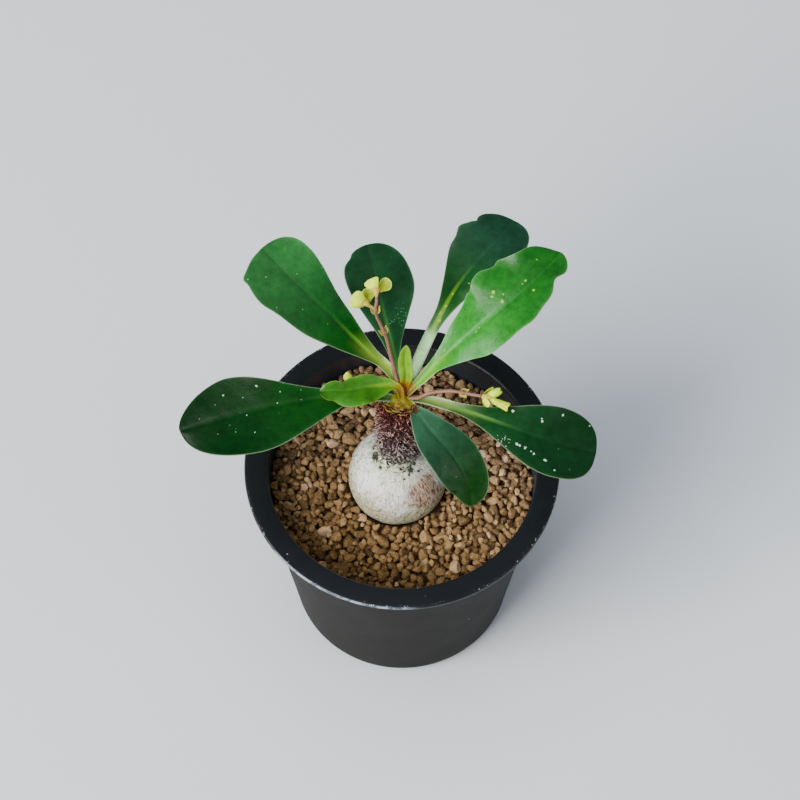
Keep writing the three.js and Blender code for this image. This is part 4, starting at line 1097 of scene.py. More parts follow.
def makeStem():
    count = stem["around"]
    angles = 2 * math.pi * np.arange(count) / count
    foots = heightOnCaudex(angles, stem["footRadius"])
    highest = stemLength - stem["crownHeight"]
    loops, marks = [], []
    bare, fade = stem["bareFoot"]
    for share in np.linspace(0, 1, stem["rows"]):
        heights = mixed(foots, np.full(count, highest), share)
        radius = mixed(stem["coreRadius"] - stem["waist"] * bell(share * 6), stem["crownRadius"], share)
        lumps = [radius + stem["lumps"] * noise.noise(Vector((math.cos(a) * 4, math.sin(a) * 4, h * 0.9)))
                 for a, h in zip(angles, heights)]
        loops.append([roundStem(h, a, r) for h, a, r in zip(heights, angles, lumps)])
        marks += smooth((heights - foots - bare) / fade).tolist()
    bare, fade = stem["bareTop"]
    for drop in stem["crownHeight"] * (1 - np.sin(np.linspace(0.06, 1.5, 20))):
        radius = crownRadiusAt(drop)
        lumps = [noise.noise(Vector((math.cos(a) * radius * 0.6, math.sin(a) * radius * 0.6, drop)))
                 for a in angles]
        loops.append([roundStem(stemLength - drop + stem["crownLumps"] * lump, a, radius)
                      for a, lump in zip(angles, lumps)])
        marks += [float(smooth((drop - bare) / fade))] * count
    start = roundStem(heightOnCaudex(np.zeros(1), 0.0)[0] - 0.5, 0, 0)
    points, faces = loft(loops, start, apex.copy())
    core = makeMesh("stem_core", points, faces, coreFinish(), bristled=[*marks, 0, 0])
    rule = stem["bristle"]
    coat = bpy.data.objects.new("stem_bristles", core.data.copy())
    bpy.context.scene.collection.objects.link(coat)
    draw = random.Random(rule["seed"])
    shapes = makeShapes("bristle", bristle, rule["shapes"], draw)
    same = {key.capitalize(): rule[key] for key in ("shortest", "longest", "lean", "stray", "seed")}
    runTree(coat, bristleTree(), Shapes=shapes, Spacing=rule["spacing"] * mm,
            Density=rule["density"] / mm ** 2, Material=bristleFinish(), **same)
    dropShapes(shapes)
    dress(core, "stem", "stem")
    dress(coat, "stem", "stem")


def makeScales():
    # the bases of shed leaves, as small cupped scales round the crown
    draw = random.Random(stem["scaleSeed"])
    scales = []
    for azimuth, drop in stem["scales"]:
        angle = math.radians(azimuth)
        radius = crownRadiusAt(drop) - 0.3
        outward = stemSide * math.cos(angle) + stemBack * math.sin(angle)
        base = roundStem(stemLength - drop, angle, radius)
        reach, rise = draw.uniform(*stem["scaleLength"]), draw.uniform(*stem["scaleRise"])
        tip = base + outward * reach + stemAxis * rise
        width = draw.uniform(*stem["scaleWidth"])
        scales.append(petalShape(base, tip, stemAxis - 0.4 * outward, width, bow=0.3))
    points, faces, fields = gathered(scales)
    dress(makeMesh("crown_scales", points, faces, scaleFinish(), **fields), "stem", "stem")


def scaleFinish():
    material, tree, shader = finish("scaleSkin", roughness=0.5, specular=0.35)
    place = objectPlace(tree)
    out, rim = attribute(tree, "out"), attribute(tree, "rim")
    cloud = noiseOf(tree, place, 620, 3)
    colour = mixColour(tree, cloud, *stem["scale"])
    brown = ranged(tree, noiseOf(tree, place, 380, 2), 0.4, 0.66, 0, 0.6)
    colour = mixColour(tree, brown, colour, stem["scaleBrown"])
    edge = times(tree, ranged(tree, rim, 0.3, 0.05, 0, 0.25), ranged(tree, out, 0.5, 0.9))
    feed(tree, shader.inputs["Base Color"], mixColour(tree, edge, colour, stem["scaleEdge"]))
    relief(tree, shader, cloud, 0.15, 0.6)
    return material


makeStem()
makeScales()
print("stem ready")


# Leaves
# Each spine starts inside the crown and is measured from the rosette. Pairs are for the left and right
# half of the blade: half width, where it is widest, how the base tapers, how square the tip is.
# A bump is a side, a place, a height and a spread. The skin's colours go from near to far.

blade = {
    "thickness": 0.6, "rib": 0.9, "groove": 0.35, "petioleDepth": 1.9, "petioleSteps": 22,
    "steps": 96, "across": 41, "veinSpacing": 5.2, "veinSlope": 0.75, "quilt": 0.008, "ripple": 0.3,
    "streak": rgb(116, 138, 72), "underside": rgb(96, 124, 84),
    "margin": rgb(148, 176, 132), "youngMargin": rgb(150, 176, 30),
    # the leaves are reddish round this place, measured from the rosette
    "heart": (0.7, 1.4, 0.8), "heartColour": rgb(122, 58, 10), "heartReach": (6.6, 2.6),
}
leaves = {
    "leaf_left": {
        "spine": [(-1.5, -0.4, -3), (-6, -1.2, 0), (-13, -1.5, 2.5), (-25, -3.2, 4), (-37.5, -4.8, 3),
                  (-51.5, -6.9, 0), (-69, -10, -5)],
        "petiole": 0.2, "stalk": 3.8, "half": (14.2, 11.8), "widest": (0.58, 0.7), "taper": (1.25, 1.95),
        "tip": (1.9, 1.7), "face": ((0, -0.15, 1), (0.1, -0.2, 1)), "fold": 5,
        "wave": (0.9, 0.9), "waves": (1.6, 1.6), "phase": (0.1, 0.45),
        "near": rgb(10, 54, 10), "far": rgb(4, 35, 9), "stem": rgb(70, 112, 50),
        "ribColour": rgb(60, 104, 62),
        "gloss": 0.08, "reach": 0.22, "glow": 0.3, "specks": 0.12, "markColour": rgb(150, 196, 158),
        "marks": [(34.8, 4.5, 0.18), (30.1, 6.9, 0.42), (17, 3.3, 0.21), (43.8, 4.6, 0.18),
                  (40.6, -3, 0.18), (40.7, 6.8, 0.3), (23.4, 3.7, 0.27), (24.7, 0.4, 0.3),
                  (34.8, -1.2, 0.24), (33.2, -7.4, 0.24), (49.6, 1.8, 0.18)],
    },
    "leaf_upper_left": {
        "spine": [(-0.6, 0.8, -1.2), (-2.2, 4.1, 1.2), (-5.9, 8.3, 3.2), (-9.5, 11, 4.5), (-21, 20.5, 11),
                  (-32.5, 30, 17), (-43.5, 41, 20)],
        "petiole": 0.2, "stalk": 3.8, "half": (15.2, 10.9), "widest": (0.76, 0.8), "taper": (1.25, 1.5),
        "tip": (1.9, 2.8), "face": ((0.1, 0, 1), (0.25, 0.1, 1)), "fold": 5,
        "wave": (1.2, 1.2), "waves": (1.4, 1.4), "phase": (0.3, 0.1),
        "bumps": [(-1, 0.72, 0.9, 0.06), (-1, 0.9, 1.6, 0.035)],
        # the paler far colour is partly a painted sheen towards the tip
        "near": rgb(6, 66, 5), "far": rgb(40, 101, 46), "stem": rgb(150, 176, 62),
        "ribColour": rgb(80, 150, 18),
        "gloss": 0.28, "reach": 0.42, "glow": 0.5, "specks": 0.07, "markColour": rgb(170, 210, 150),
        "marks": [(41.9, -7.2, 0.26), (33.4, -13, 0.23), (44.6, -12.6, 0.23), (28, -6, 0.2), (37, 2, 0.2)],
    },
    "leaf_back": {
        "spine": [(-0.3, 1.2, -1), (-1.9, 4.7, 2), (-2.5, 7.9, 6.2), (-4, 12, 14), (-6, 18, 20),
                  (-8.5, 27, 29), (-11, 33.5, 34)],
        "petiole": 0.2, "stalk": 2.6, "half": (9.9, 10.7), "widest": (0.8, 0.68), "taper": (1.8, 1.5),
        "tip": (2.1, 2.1), "face": ((0, 0, 1), (0, 0, 1)), "fold": 7,
        "wave": (0.8, 0.8), "waves": (1.5, 1.5), "phase": (0.2, 0.5),
        "bumps": [(1, 0.62, 0.3, 0.08), (-1, 0.94, -0.9, 0.025)],
        "near": rgb(20, 62, 32), "far": rgb(15, 52, 28), "stem": rgb(50, 98, 40),
        "gloss": 0.12, "reach": 0.9, "glow": 0.2, "specks": 0.1,
        "markColour": rgb(92, 150, 104), "dust": (14.5, 4.4, 6.2),
    },
    "leaf_back_right": {
        "spine": [(0.8, 0.9, -1), (3.7, 6.8, 2.6), (6.5, 13.2, 4.8), (10.5, 21, 8), (16, 30.5, 12),
                  (23, 38.5, 16), (30, 45.8, 18), (34.6, 52.4, 17.2)],
        "petiole": 0.33, "stalk": 3.6, "half": (10.2, 9.8), "widest": (0.58, 0.7), "taper": (2.5, 1.7),
        "tip": (2.8, 2.6), "face": ((-0.1, 0, 1), (0, 0, 1)), "fold": 6,
        "wave": (0.9, 0.9), "waves": (1.6, 1.6), "phase": (0, 0.4),
        "bumps": [(-1, 0.68, 1.5, 0.05), (-1, 0.8, -0.8, 0.025), (-1, 0.9, 0.4, 0.05)],
        # the grey far colour is partly a painted sheen on the curled tip, and the near-white petiole colour
        # is partly a painted highlight
        "near": rgb(12, 70, 12), "far": rgb(22, 56, 38), "stem": rgb(192, 238, 172),
        "ribColour": rgb(116, 168, 30),
        "gloss": 0.14, "reach": 0.55, "glow": 0.14, "specks": 0.03, "markColour": rgb(160, 190, 50),
        "marks": [(3.4, 0.4, 0.7), (5.6, -0.3, 0.6), (8.3, 0.2, 0.5), (12.6, 0.2, 0.4), (18.4, 2.8, 0.3)],
    },
    "leaf_right_upper": {
        "spine": [(1.4, 0.3, -1), (3.1, 1.4, 1), (6.5, 3.8, 3.6), (10, 6.4, 6.4), (17, 10, 14),
                  (26.5, 14.5, 22.5), (38, 22, 29), (48.5, 32.5, 31)],
        "petiole": 0.18, "stalk": 4, "half": (12.8, 10.1), "widest": (0.55, 0.54), "taper": (1.5, 1.25),
        "tip": (2, 2.1), "face": ((0, 0, 1), (0, 0, 1)), "fold": 3,
        "wave": (1.3, 3.2), "waves": (3, 1), "phase": (0.75, 0.52),
        "bumps": [(-1, 0.45, -1.2, 0.03), (-1, 0.56, 0.8, 0.05), (-1, 0.7, 1, 0.04), (-1, 0.82, -0.4, 0.04),
                  (-1, 0.94, 1.2, 0.05), (1, 0.33, 0.5, 0.06), (1, 0.64, 1, 0.06), (1, 0.84, -2.4, 0.05)],
        "near": rgb(36, 124, 34), "far": rgb(22, 88, 22), "stem": rgb(84, 158, 10),
        "gloss": 0.22, "polish": -0.04, "reach": 0.12, "glow": 0.5, "specks": 0.1,
        "markColour": rgb(128, 190, 50),
        "marks": [(30.7, -5.7, 0.72), (29.6, -4.8, 0.51), (31.3, -1.6, 0.64), (33, -3, 0.38),
                  (40.8, 2.5, 0.51), (41, -1.7, 0.42), (39.6, -1.6, 0.3), (48.5, -4, 0.34), (19, 0.6, 0.42),
                  (20.5, 0.2, 0.34), (6.5, -1.6, 0.42)],
    },
    "leaf_right": {
        "spine": [(1.4, -0.4, -3), (5.2, -1.1, -1.8), (9.6, -2.3, -1), (15.7, -5.2, 0.8), (20.6, -7.5, 2),
                  (31, -12, 3), (45, -16, 0), (59.5, -17.5, -5)],
        "petiole": 0.25, "stalk": 3.4, "half": (11.2, 11.6), "widest": (0.75, 0.72), "taper": (1.6, 1.8),
        "tip": (2.4, 2.3), "face": ((0, -0.1, 1), (0, -0.2, 1)), "fold": 5,
        "wave": (0.9, 0.9), "waves": (1.5, 1.5), "phase": (0.4, 0.1),
        "near": rgb(12, 56, 22), "far": rgb(11, 48, 21), "stem": rgb(96, 122, 54),
        "ribColour": rgb(78, 128, 48),
        "gloss": 0.16, "reach": 0.5, "glow": 0.5, "specks": 0.12, "markColour": rgb(226, 240, 222),
        "marks": [(34.2, -8.8, 0.47), (27.7, -4.9, 0.43), (27.4, -5.6, 0.31), (18, -4.9, 0.47),
                  (22.5, 4.6, 0.51), (23.4, 4.7, 0.39), (25.1, 4.9, 0.47), (27.1, 5.4, 0.31),
                  (28, 5.8, 0.39), (31.6, 6.7, 0.51), (34.6, 9.2, 0.31)],
        "dust": (18.4, 5, 2.6),
    },
    "leaf_front": {
        "spine": [(0.5, -0.5, -2.4), (1.9, -2.4, -1.8), (4.6, -6, -1.9), (9.5, -11.6, -4), (16.5, -18, -9),
                  (20.5, -23.5, -15), (21.5, -28, -21)],
        "petiole": 0.1, "stalk": 3.1, "half": (7.7, 8.6), "widest": (0.55, 0.5), "taper": (1.1, 1.15),
        "tip": (1.9, 1.8), "face": ((0, 0, 1), (0, 0, 1)), "fold": 4,
        "wave": (0.7, 0.7), "waves": (1.4, 1.4), "phase": (0.2, 0.6),
        # the grey-green near colour is partly the leaf's own colour and partly a painted sheen
        "near": rgb(40, 80, 56), "far": rgb(5, 47, 3), "stem": rgb(60, 110, 60),
        "gloss": 0.25, "reach": 0.1, "glow": 0.2, "specks": 0.04,
    },
    "leaf_small": {
        "young": True,
        "spine": [(-0.3, -1.4, -1.4), (-1.2, 0.9, 1.6), (-3.7, 1.7, 3), (-7.1, 0.7, 4.6), (-10.8, -0.4, 6),
                  (-14.9, -2, 7.3), (-18.6, -2.9, 8), (-22, -2.9, 8.2), (-25.6, -3.2, 8)],
        "petiole": 0.2, "stalk": 2.5, "half": (5.9, 3.8), "widest": (0.5, 0.5), "taper": (1.2, 1.2),
        "tip": (2, 1.8), "face": ((0, -0.3, 1), (0, -0.3, 1)), "fold": 12,
        "wave": (0.9, 0.9), "waves": (2, 2), "phase": (0.3, 0.6),
        "bumps": [(-1, 0.8, -1.2, 0.08), (1, 0.7, -0.8, 0.08)],
        "near": rgb(56, 118, 14), "far": rgb(38, 92, 12), "stem": rgb(122, 160, 26),
        "gloss": 0.3, "reach": 0.5, "glow": 0.4, "specks": 0.0,
    },
    "leaf_tiny": {
        "young": True,
        "spine": [(0.3, 0.8, -1), (0.5, 2, 1.6), (1, 3.4, 6), (0.6, 6, 11), (1, 8, 16)],
        "petiole": 0.05, "stalk": 2, "half": (2.1, 2.1), "widest": (0.6, 0.6), "taper": (1.2, 1.2),
        "tip": (2, 2), "face": ((0, -1, 0.6), (0, -1, 0.4)), "fold": 12,
        "wave": (0, 0), "waves": (1, 1), "phase": (0, 0), "petioleDepth": 1.1, "rib": 0.3,
        "near": rgb(104, 140, 4), "far": rgb(92, 138, 4), "stem": rgb(120, 150, 10),
        "gloss": 0.1, "reach": 0.3, "glow": 0.3, "specks": 0.0,
    },
}


def fromRosette(points):
    return [rosette + np.array(p) for p in points]


def halfWidth(leaf, along, k):
    stalk = leaf["stalk"] / 2 * (0.55 + 0.45 * smooth(along / 0.2))
    q = np.clip((along - leaf["petiole"]) / (1 - leaf["petiole"]), 0, 1)
    widest, power = leaf["widest"][k], leaf["tip"][k]
    rising = np.sin(math.pi / 2 * np.minimum(q / widest, 1) ** leaf["taper"][k])
    falling = (1 - np.clip((q - widest) / (1 - widest), 0, 1) ** power) ** (1 / power)
    outline = np.where(q < widest, rising, falling)
    width = leaf["half"][k] * outline + stalk * (1 - smooth(q / widest))
    for side, place, height, spread in leaf.get("bumps", []):
        if side == 2 * k - 1:
            width = width + height * bell((q - place) / spread) * np.minimum(1, 1.5 * outline)
    return np.where(along <= leaf["petiole"], stalk, width)


def leafShape(leaf):
    curve = curveThrough(fromRosette(leaf["spine"]))
    petiole = leaf["petiole"]
    onPetiole = petiole * np.arange(blade["petioleSteps"]) / blade["petioleSteps"]
    onBlade = 1 - (1 - 0.9995 * np.linspace(0, 1, blade["steps"])) ** 1.6
    along = np.concatenate([onPetiole, petiole + (1 - petiole) * onBlade])
    place = np.sin(np.radians(np.linspace(-90, 90, blade["across"])))
    outward = np.abs(place)

    middle, ahead = curve(along), directionsAlong(curve, along)
    faces = np.array(leaf["face"], float)
    face = mixed(faces[0], faces[1], along[:, None])
    face = unit(face - ahead * (face * ahead).sum(-1, keepdims=True))
    right = np.cross(ahead, face)

    q = np.clip((along - petiole) / (1 - petiole), 0, 1)[:, None]
    fold = math.radians(leaf["fold"]) * smooth(3 * q)
    share = smooth(4 * q)
    left = place < 0
    width = np.where(left, halfWidth(leaf, along, 0)[:, None], halfWidth(leaf, along, 1)[:, None])
    wave, waves, phase = (np.where(left, *leaf[key]) for key in ("wave", "waves", "phase"))
    fromRib = outward * width

    slimmed = 1 - 0.45 * np.minimum(1, along / petiole)
    rolled = leaf.get("petioleDepth", blade["petioleDepth"]) * slimmed[:, None]
    lift = fromRib * np.sin(fold) + (0.3 * rolled + 0.75 * outward ** 2) * (1 - share)
    lift = lift + wave * np.sin(2 * math.pi * (waves * q + phase)) * smooth(2 * q) * outward ** 2
    lift = lift - blade["groove"] * bell(fromRib / 0.6) * share * (1 - 0.6 * q)
    # soft quilting between the side veins
    run = (along * curve.length)[:, None] - petiole * curve.length
    quilt = np.cos(2 * math.pi * (run - blade["veinSlope"] * fromRib) / blade["veinSpacing"])
    lift = lift - blade["quilt"] * quilt * share * 4 * outward * (1 - outward)

    sideways = (place * width * np.cos(fold))[..., None]
    top = middle[:, None] + right[:, None] * sideways + face[:, None] * lift[..., None]
    spots = [Vector(point) for point in top.reshape(-1, 3)]
    ripple = [noise.noise(p * 0.085) + 0.4 * noise.noise(p * 0.2 + Vector((7, 3, 1))) for p in spots]
    ripple = np.reshape(ripple, top.shape[:2])
    top = top + face[:, None] * (blade["ripple"] * ripple * share * (0.3 + outward))[..., None]

    rib = leaf.get("rib", blade["rib"]) * (1 - 0.6 * q) * bell(fromRib / 0.65)
    thin = blade["thickness"] * (1 - 0.5 * outward ** 4) * (1 - 0.3 * q ** 4) + rib
    depth = mixed(rolled * np.sqrt(1 - 0.9 * outward ** 2), thin, share)
    bottom = top - face[:, None] * depth[..., None]
    # the margin is rounded by one more row of points on each side
    aside = 0.35 * depth[:, [0, -1], None] * right[:, None] * np.array([-1, 1])[None, :, None]
    rims = (top[:, [0, -1]] + bottom[:, [0, -1]]) / 2 + aside
    loops = np.concatenate([top, rims[:, 1:], bottom[:, ::-1], rims[:, :1]], axis=1)

    def spread(values, rimValue=None):
        # one value for each point of each loop, in the loops' order
        rows = np.broadcast_to(values, top.shape[:2])
        edges = rows[:, [-1]] if rimValue is None else np.full((len(rows), 1), rimValue)
        otherEdges = rows[:, [0]] if rimValue is None else edges
        return np.concatenate([rows, edges, rows[:, ::-1], otherEdges], axis=1).ravel()

    across = blade["across"]
    fields = {
        "along": spread(np.where(along[:, None] < petiole, along[:, None] / petiole - 1, q)),
        "run": spread(run),
        "across": spread(place * width),
        "rim": spread(width - fromRib, 0.0),
        "under": np.tile([0.0] * across + [0.5] + [1.0] * across + [0.5], len(loops)),
    }
    ends = {"along": (-1, 1), "run": (fields["run"][0], fields["run"][-1]), "across": (0, 0),
            "rim": (1, 0), "under": (0, 0)}
    return *loft(loops), withEnds(fields, **ends)


def leafSkinTree():
    # colour, gloss and relief of a leaf, from the distances that its mesh keeps
    tree, given, result = group(
        "leafSkin", "ShaderNodeTree",
        [("Near", "Color", rgb(20, 60, 30)), ("Far", "Color", rgb(40, 90, 50)),
         ("Rib", "Color", rgb(110, 160, 70)), ("Petiole", "Color", rgb(150, 180, 110)),
         ("Margin", "Color", rgb(150, 170, 120)), ("Speck", "Color", rgb(206, 220, 168)),
         ("Speck Share", "Float", 0.1), ("Rib Reach", "Float", 0.5), ("Glow", "Float", 0.5)],
        [("Color", "Color"), ("Roughness", "Float"), ("Height", "Float")])
    place = objectPlace(tree)
    along, run, across, rim, under = (
        attribute(tree, name) for name in ("along", "run", "across", "rim", "under"))
    away = calc(tree, "ABSOLUTE", across)
    broad = noiseOf(tree, place, 75, 3, 0.55)
    mottle = noiseOf(tree, place, 560, 4, 0.65)
    fine = noiseOf(tree, place, 2100, 2, 0.6)
    # side veins, which run forward from the midrib
    warp = scaled(tree, noiseOf(tree, place, 120, 2), 2.4, -1.2)
    phase = calc(tree, "SUBTRACT", plus(tree, run, warp), times(tree, away, blade["veinSlope"]))
    phase = calc(tree, "FRACT", calc(tree, "DIVIDE", phase, blade["veinSpacing"]))
    fromVein = times(tree, calc(tree, "ABSOLUTE", calc(tree, "SUBTRACT", phase, 0.5)), 2)
    inside = times(tree, ranged(tree, rim, 0.6, 3), ranged(tree, along, 0.02, 0.12))
    vein = times(tree, ranged(tree, fromVein, 0.84, 0.97), inside)

    colour = mixColour(tree, ranged(tree, along, 0.1, 0.85), given["Near"], given["Far"])
    patchy = noiseOf(tree, place, 210, 4, 0.6)
    tone = plus(tree, times(tree, broad, 0.4), times(tree, patchy, 0.75), times(tree, mottle, 0.6))
    hue = scaled(tree, mottle, -0.02, 0.51)
    colour = shifted(tree, colour, Value=scaled(tree, tone, 1.35, -0.2), Hue=hue)
    bright = shifted(tree, colour, Value=1.7, Saturation=0.9)
    colour = mixColour(tree, times(tree, vein, 0.04), colour, bright)
    colour = mixColour(tree, ranged(tree, rim, 1.6, 0.2, 0, 0.3), colour, bright)
    # the midrib fades along the blade, and the petiole's colour runs into the foot of the blade
    ribHalf = most(tree, scaled(tree, along, -0.6, 0.85), 0.15)
    ribLine = ranged(tree, calc(tree, "DIVIDE", away, ribHalf), 1.3, 0.4)
    late = ranged(tree, calc(tree, "DIVIDE", along, given["Rib Reach"]), 0.15, 1.0)
    early = calc(tree, "SUBTRACT", 1, late)
    colour = mixColour(tree, times(tree, ribLine, 0.22), colour, bright)
    colour = mixColour(tree, times(tree, ribLine, early, 0.75), colour, given["Rib"])
    foot = times(tree, ranged(tree, away, 4.5, 0.4), ranged(tree, along, 0.26, 0.0), given["Glow"],
                 ranged(tree, broad, 0.3, 0.55, 0.5, 1))
    colour = mixColour(tree, foot, colour, given["Petiole"])
    stalk = ranged(tree, along, 0.05, -0.15)
    streaked = mixColour(tree, ranged(tree, mottle, 0.4, 0.65, 0, 0.35), given["Petiole"], blade["streak"])
    colour = mixColour(tree, stalk, colour, streaked)
    wide = scaled(tree, stalk, 0.3, 0.26)
    margin = ranged(tree, calc(tree, "DIVIDE", rim, wide), 1.0, 0.35)
    colour = mixColour(tree, times(tree, margin, scaled(tree, stalk, 0.42, 0.28)), colour, given["Margin"])
    # the under side is paler and duller
    below = ranged(tree, under, 0.6, 0.9)
    colour = mixColour(tree, below, colour, mixColour(tree, 0.35, bright, blade["underside"]))
    # reddish at the heart of the rosette
    heart = tuple((rosette + np.array(blade["heart"])) * mm)
    fromHeart = plus(tree, vectorCalc(tree, "DISTANCE", place, heart), times(tree, mottle, 2 * mm))
    red = ranged(tree, fromHeart, *metres(blade["heartReach"]), 0, 0.85)
    colour = mixColour(tree, red, colour, blade["heartColour"])
    # specks
    dots = specks(tree, place, 260, given["Speck Share"], 0.08)
    crumbs = specks(tree, place, 900, given["Speck Share"], 0.16)
    crumbs = times(tree, crumbs, ranged(tree, broad, 0.5, 0.64, 0, 0.7))
    onTop = times(tree, ranged(tree, under, 0.4, 0.1), ranged(tree, along, 0.05, 0.15))
    speck = times(tree, most(tree, dots, crumbs), onTop)
    feed(tree, result["Color"], mixColour(tree, times(tree, speck, 0.75), colour, given["Speck"]))

    rough = plus(tree, scaled(tree, mottle, 0.16, 0.24), times(tree, below, 0.2), times(tree, speck, 0.2))
    feed(tree, result["Roughness"], rough)
    height = plus(tree, scaled(tree, vein, -0.08, times(tree, mottle, 1.3)), times(tree, fine, 0.35),
                  times(tree, speck, 0.5))
    feed(tree, result["Height"], height)
    return tree


def leafFinish(name, leaf, skin):
    material, tree, shader = finish(name, roughness=0.35, specular=leaf["gloss"])
    margin = blade["youngMargin" if leaf.get("young") else "margin"]
    shown = useGroup(tree, skin, **{
        "Near": leaf["near"], "Far": leaf["far"], "Petiole": leaf["stem"], "Margin": margin,
        "Rib": leaf.get("ribColour", leaf["stem"]),
        "Speck Share": leaf["specks"], "Rib Reach": leaf["reach"], "Glow": leaf["glow"]})
    colour = shown["Color"]
    if "markColour" in leaf:
        # pale marks and dust, placed by their distance along the blade and from the midrib
        place = add(tree, "ShaderNodeCombineXYZ", attribute(tree, "run"), attribute(tree, "across"), 0)
        uneven = scaled(tree, noiseOf(tree, place, 1.5, 3, 0.6), 2.4, -1.2)
        marks = [((u, v, 0), radius) for u, v, radius in leaf.get("marks", [])]
        mask = blotches(tree, place, marks, uneven, 0.5)
        if "dust" in leaf:
            u, v, radius = leaf["dust"]
            crumbs = specks(tree, place, 1.7, 0.7, 0.3)
            heap = blotches(tree, place, [((u, v, 0), radius)], uneven, 0.8)
            mask = most(tree, mask, times(tree, crumbs, heap))
        mask = times(tree, mask, ranged(tree, attribute(tree, "under"), 0.4, 0.1, 0, 0.85))
        colour = mixColour(tree, mask, colour, leaf["markColour"])
    feed(tree, shader.inputs["Base Color"], colour)
    feed(tree, shader.inputs["Roughness"], plus(tree, shown["Roughness"], leaf.get("polish", 0.0)))
    relief(tree, shader, shown["Height"], 0.1, 0.7)
    return material


skin = leafSkinTree()
for name, leaf in leaves.items():
    points, faces, fields = leafShape(leaf)
    material = leafFinish(name + "Skin", leaf, skin)
    dress(makeMesh(name + "_blade", points, faces, material, **fields),
          "young_leaf" if leaf.get("young") else "leaf", name)
print("leaves ready")


# Flower stalks

bract = {"width": 2.2, "length": 3.0, "thickness": 0.28, "lean": 0.62, "drop": 0.7}
stalkLook = {
    # the share by which a stalk slims, then height and reach of the swelling at each node and at its foot
    "slims": 0.3, "swell": (0.42, 0.022), "flare": (0.35, 0.05),
    "skin": (rgb(134, 86, 78), rgb(112, 78, 54)), "pale": rgb(196, 152, 132), "green": rgb(172, 174, 66),
}
stalks = {
    "flower_stalk_upper": {
        "radius": 0.68,
        "spine": [(-0.6, 1.2, -1), (-1.9, 3.4, 4), (-3.6, 6.2, 12), (-5, 9.5, 18), (-6.5, 11.5, 22),
                  (-8, 13, 26), (-8.4, 14, 28.5), (-8, 15.2, 31), (-8, 16.7, 33.1)],
        "nodes": [0.62, 0.84], "branch": [(-8.3, 13.9, 28), (-9.3, 14.5, 28.7), (-10.2, 14.9, 29.1)],
    },
    "flower_stalk_right": {
        "radius": 0.68,
        "spine": [(1.6, -0.6, -1.5), (4.6, -1.3, 0.2), (8.3, -0.8, 2.4), (13.2, -1.4, 4.8),
                  (17.5, -2.5, 6.2), (21.7, -3.9, 7), (24, -4.5, 7.3)],
        "nodes": [0.76],
    },
    "flower_stalk_left": {
        "radius": 0.6,
        "spine": [(-1.5, 0.8, -1.5), (-5.5, 3.4, 1), (-10, 3, 2.2), (-13.5, 2.8, 3), (-16, 2.8, 3.8)],
        "nodes": [],
    },
}


def stalkFinish():
    material, tree, shader = finish("stalkSkin", roughness=0.5, specular=0.45)
    place = objectPlace(tree)
    cloud = noiseOf(tree, place, 260, 3)
    fine = noiseOf(tree, place, 1600, 3)
    colour = mixColour(tree, ranged(tree, cloud, 0.35, 0.65), *stalkLook["skin"])
    colour = mixColour(tree, ranged(tree, fine, 0.5, 0.75, 0, 0.4), colour, stalkLook["pale"])
    green = ranged(tree, attribute(tree, "green"), 0.2, 0.8)
    feed(tree, shader.inputs["Base Color"], mixColour(tree, green, colour, stalkLook["green"]))
    relief(tree, shader, fine, 0.08, 0.5)
    return material


def bractShape(at, outward):
    # a small pointed scale that leans out from a stem
    width, length = bract["width"], bract["length"]
    along = unit(outward)
    across = unit(np.cross(along, (0, 0, 1)))
    face = np.cross(across, along)
    loops = []
    for share in np.linspace(0, 1, 9)[:-1]:
        wide = width / 2 * (0.5 + 0.5 * math.sin(math.pi * min(1, share * 1.3))) * (1 - share ** 3)
        deep = bract["thickness"] * (1.2 - 0.8 * share)
        curl = 0.35 * math.sin(math.pi * share) * length * 0.3
        centre = at + along * length * share - face * curl
        angles = 2 * math.pi * np.arange(12) / 12
        cup = 0.25 * wide * np.cos(angles) ** 2
        loops.append(centre + np.outer(wide * np.cos(angles), across)
                     + np.outer(deep / 2 * np.sin(angles) + cup, face))
    return loft(loops, end=at + along * length)


def stalkShape(stalk):
    curve = curveThrough(fromRosette(stalk["spine"]))
    (swell, swellReach), (flare, flareReach) = stalkLook["swell"], stalkLook["flare"]

    def radiusAt(share):
        swollen = sum(swell * bell((share - node) / swellReach) for node in stalk["nodes"])
        slim = stalk["radius"] * (1 - stalkLook["slims"] * share)
        return slim + swollen + flare * bell(share / flareReach)

    parts = [loft(tube(curve, radiusAt, 90, 18))]
    green = [np.full(len(parts[0][0]), 0.1)]
    if "branch" in stalk:
        branch = curveThrough(fromRosette(stalk["branch"]))
        parts.append(loft(tube(branch, lambda share: stalk["radius"] * (0.8 - 0.1 * share), 12, 14)))
        green.append(np.full(len(parts[-1][0]), 0.5))
    for node in stalk["nodes"]:
        at, ahead = curve(node), directionsAlong(curve, [node])[0]
        aside = unit(np.cross(ahead, (0, 0, 1)))
        for side in (-1, 1):
            parts.append(bractShape(at - bract["drop"] * ahead, bract["lean"] * aside * side + ahead))
            green.append(np.full(len(parts[-1][0]), 1.0))
    points, faces = joined(*parts)
    return points, faces, {"green": np.concatenate(green)}


material = stalkFinish()
for name, stalk in stalks.items():
    points, faces, fields = stalkShape(stalk)
    dress(makeMesh(name + "_skin", points, faces, material, **fields), "flower_stalk", name)
print("stalks ready")


# Flower heads: small cups with two rounded scales, each scale from the head's foot to its tip

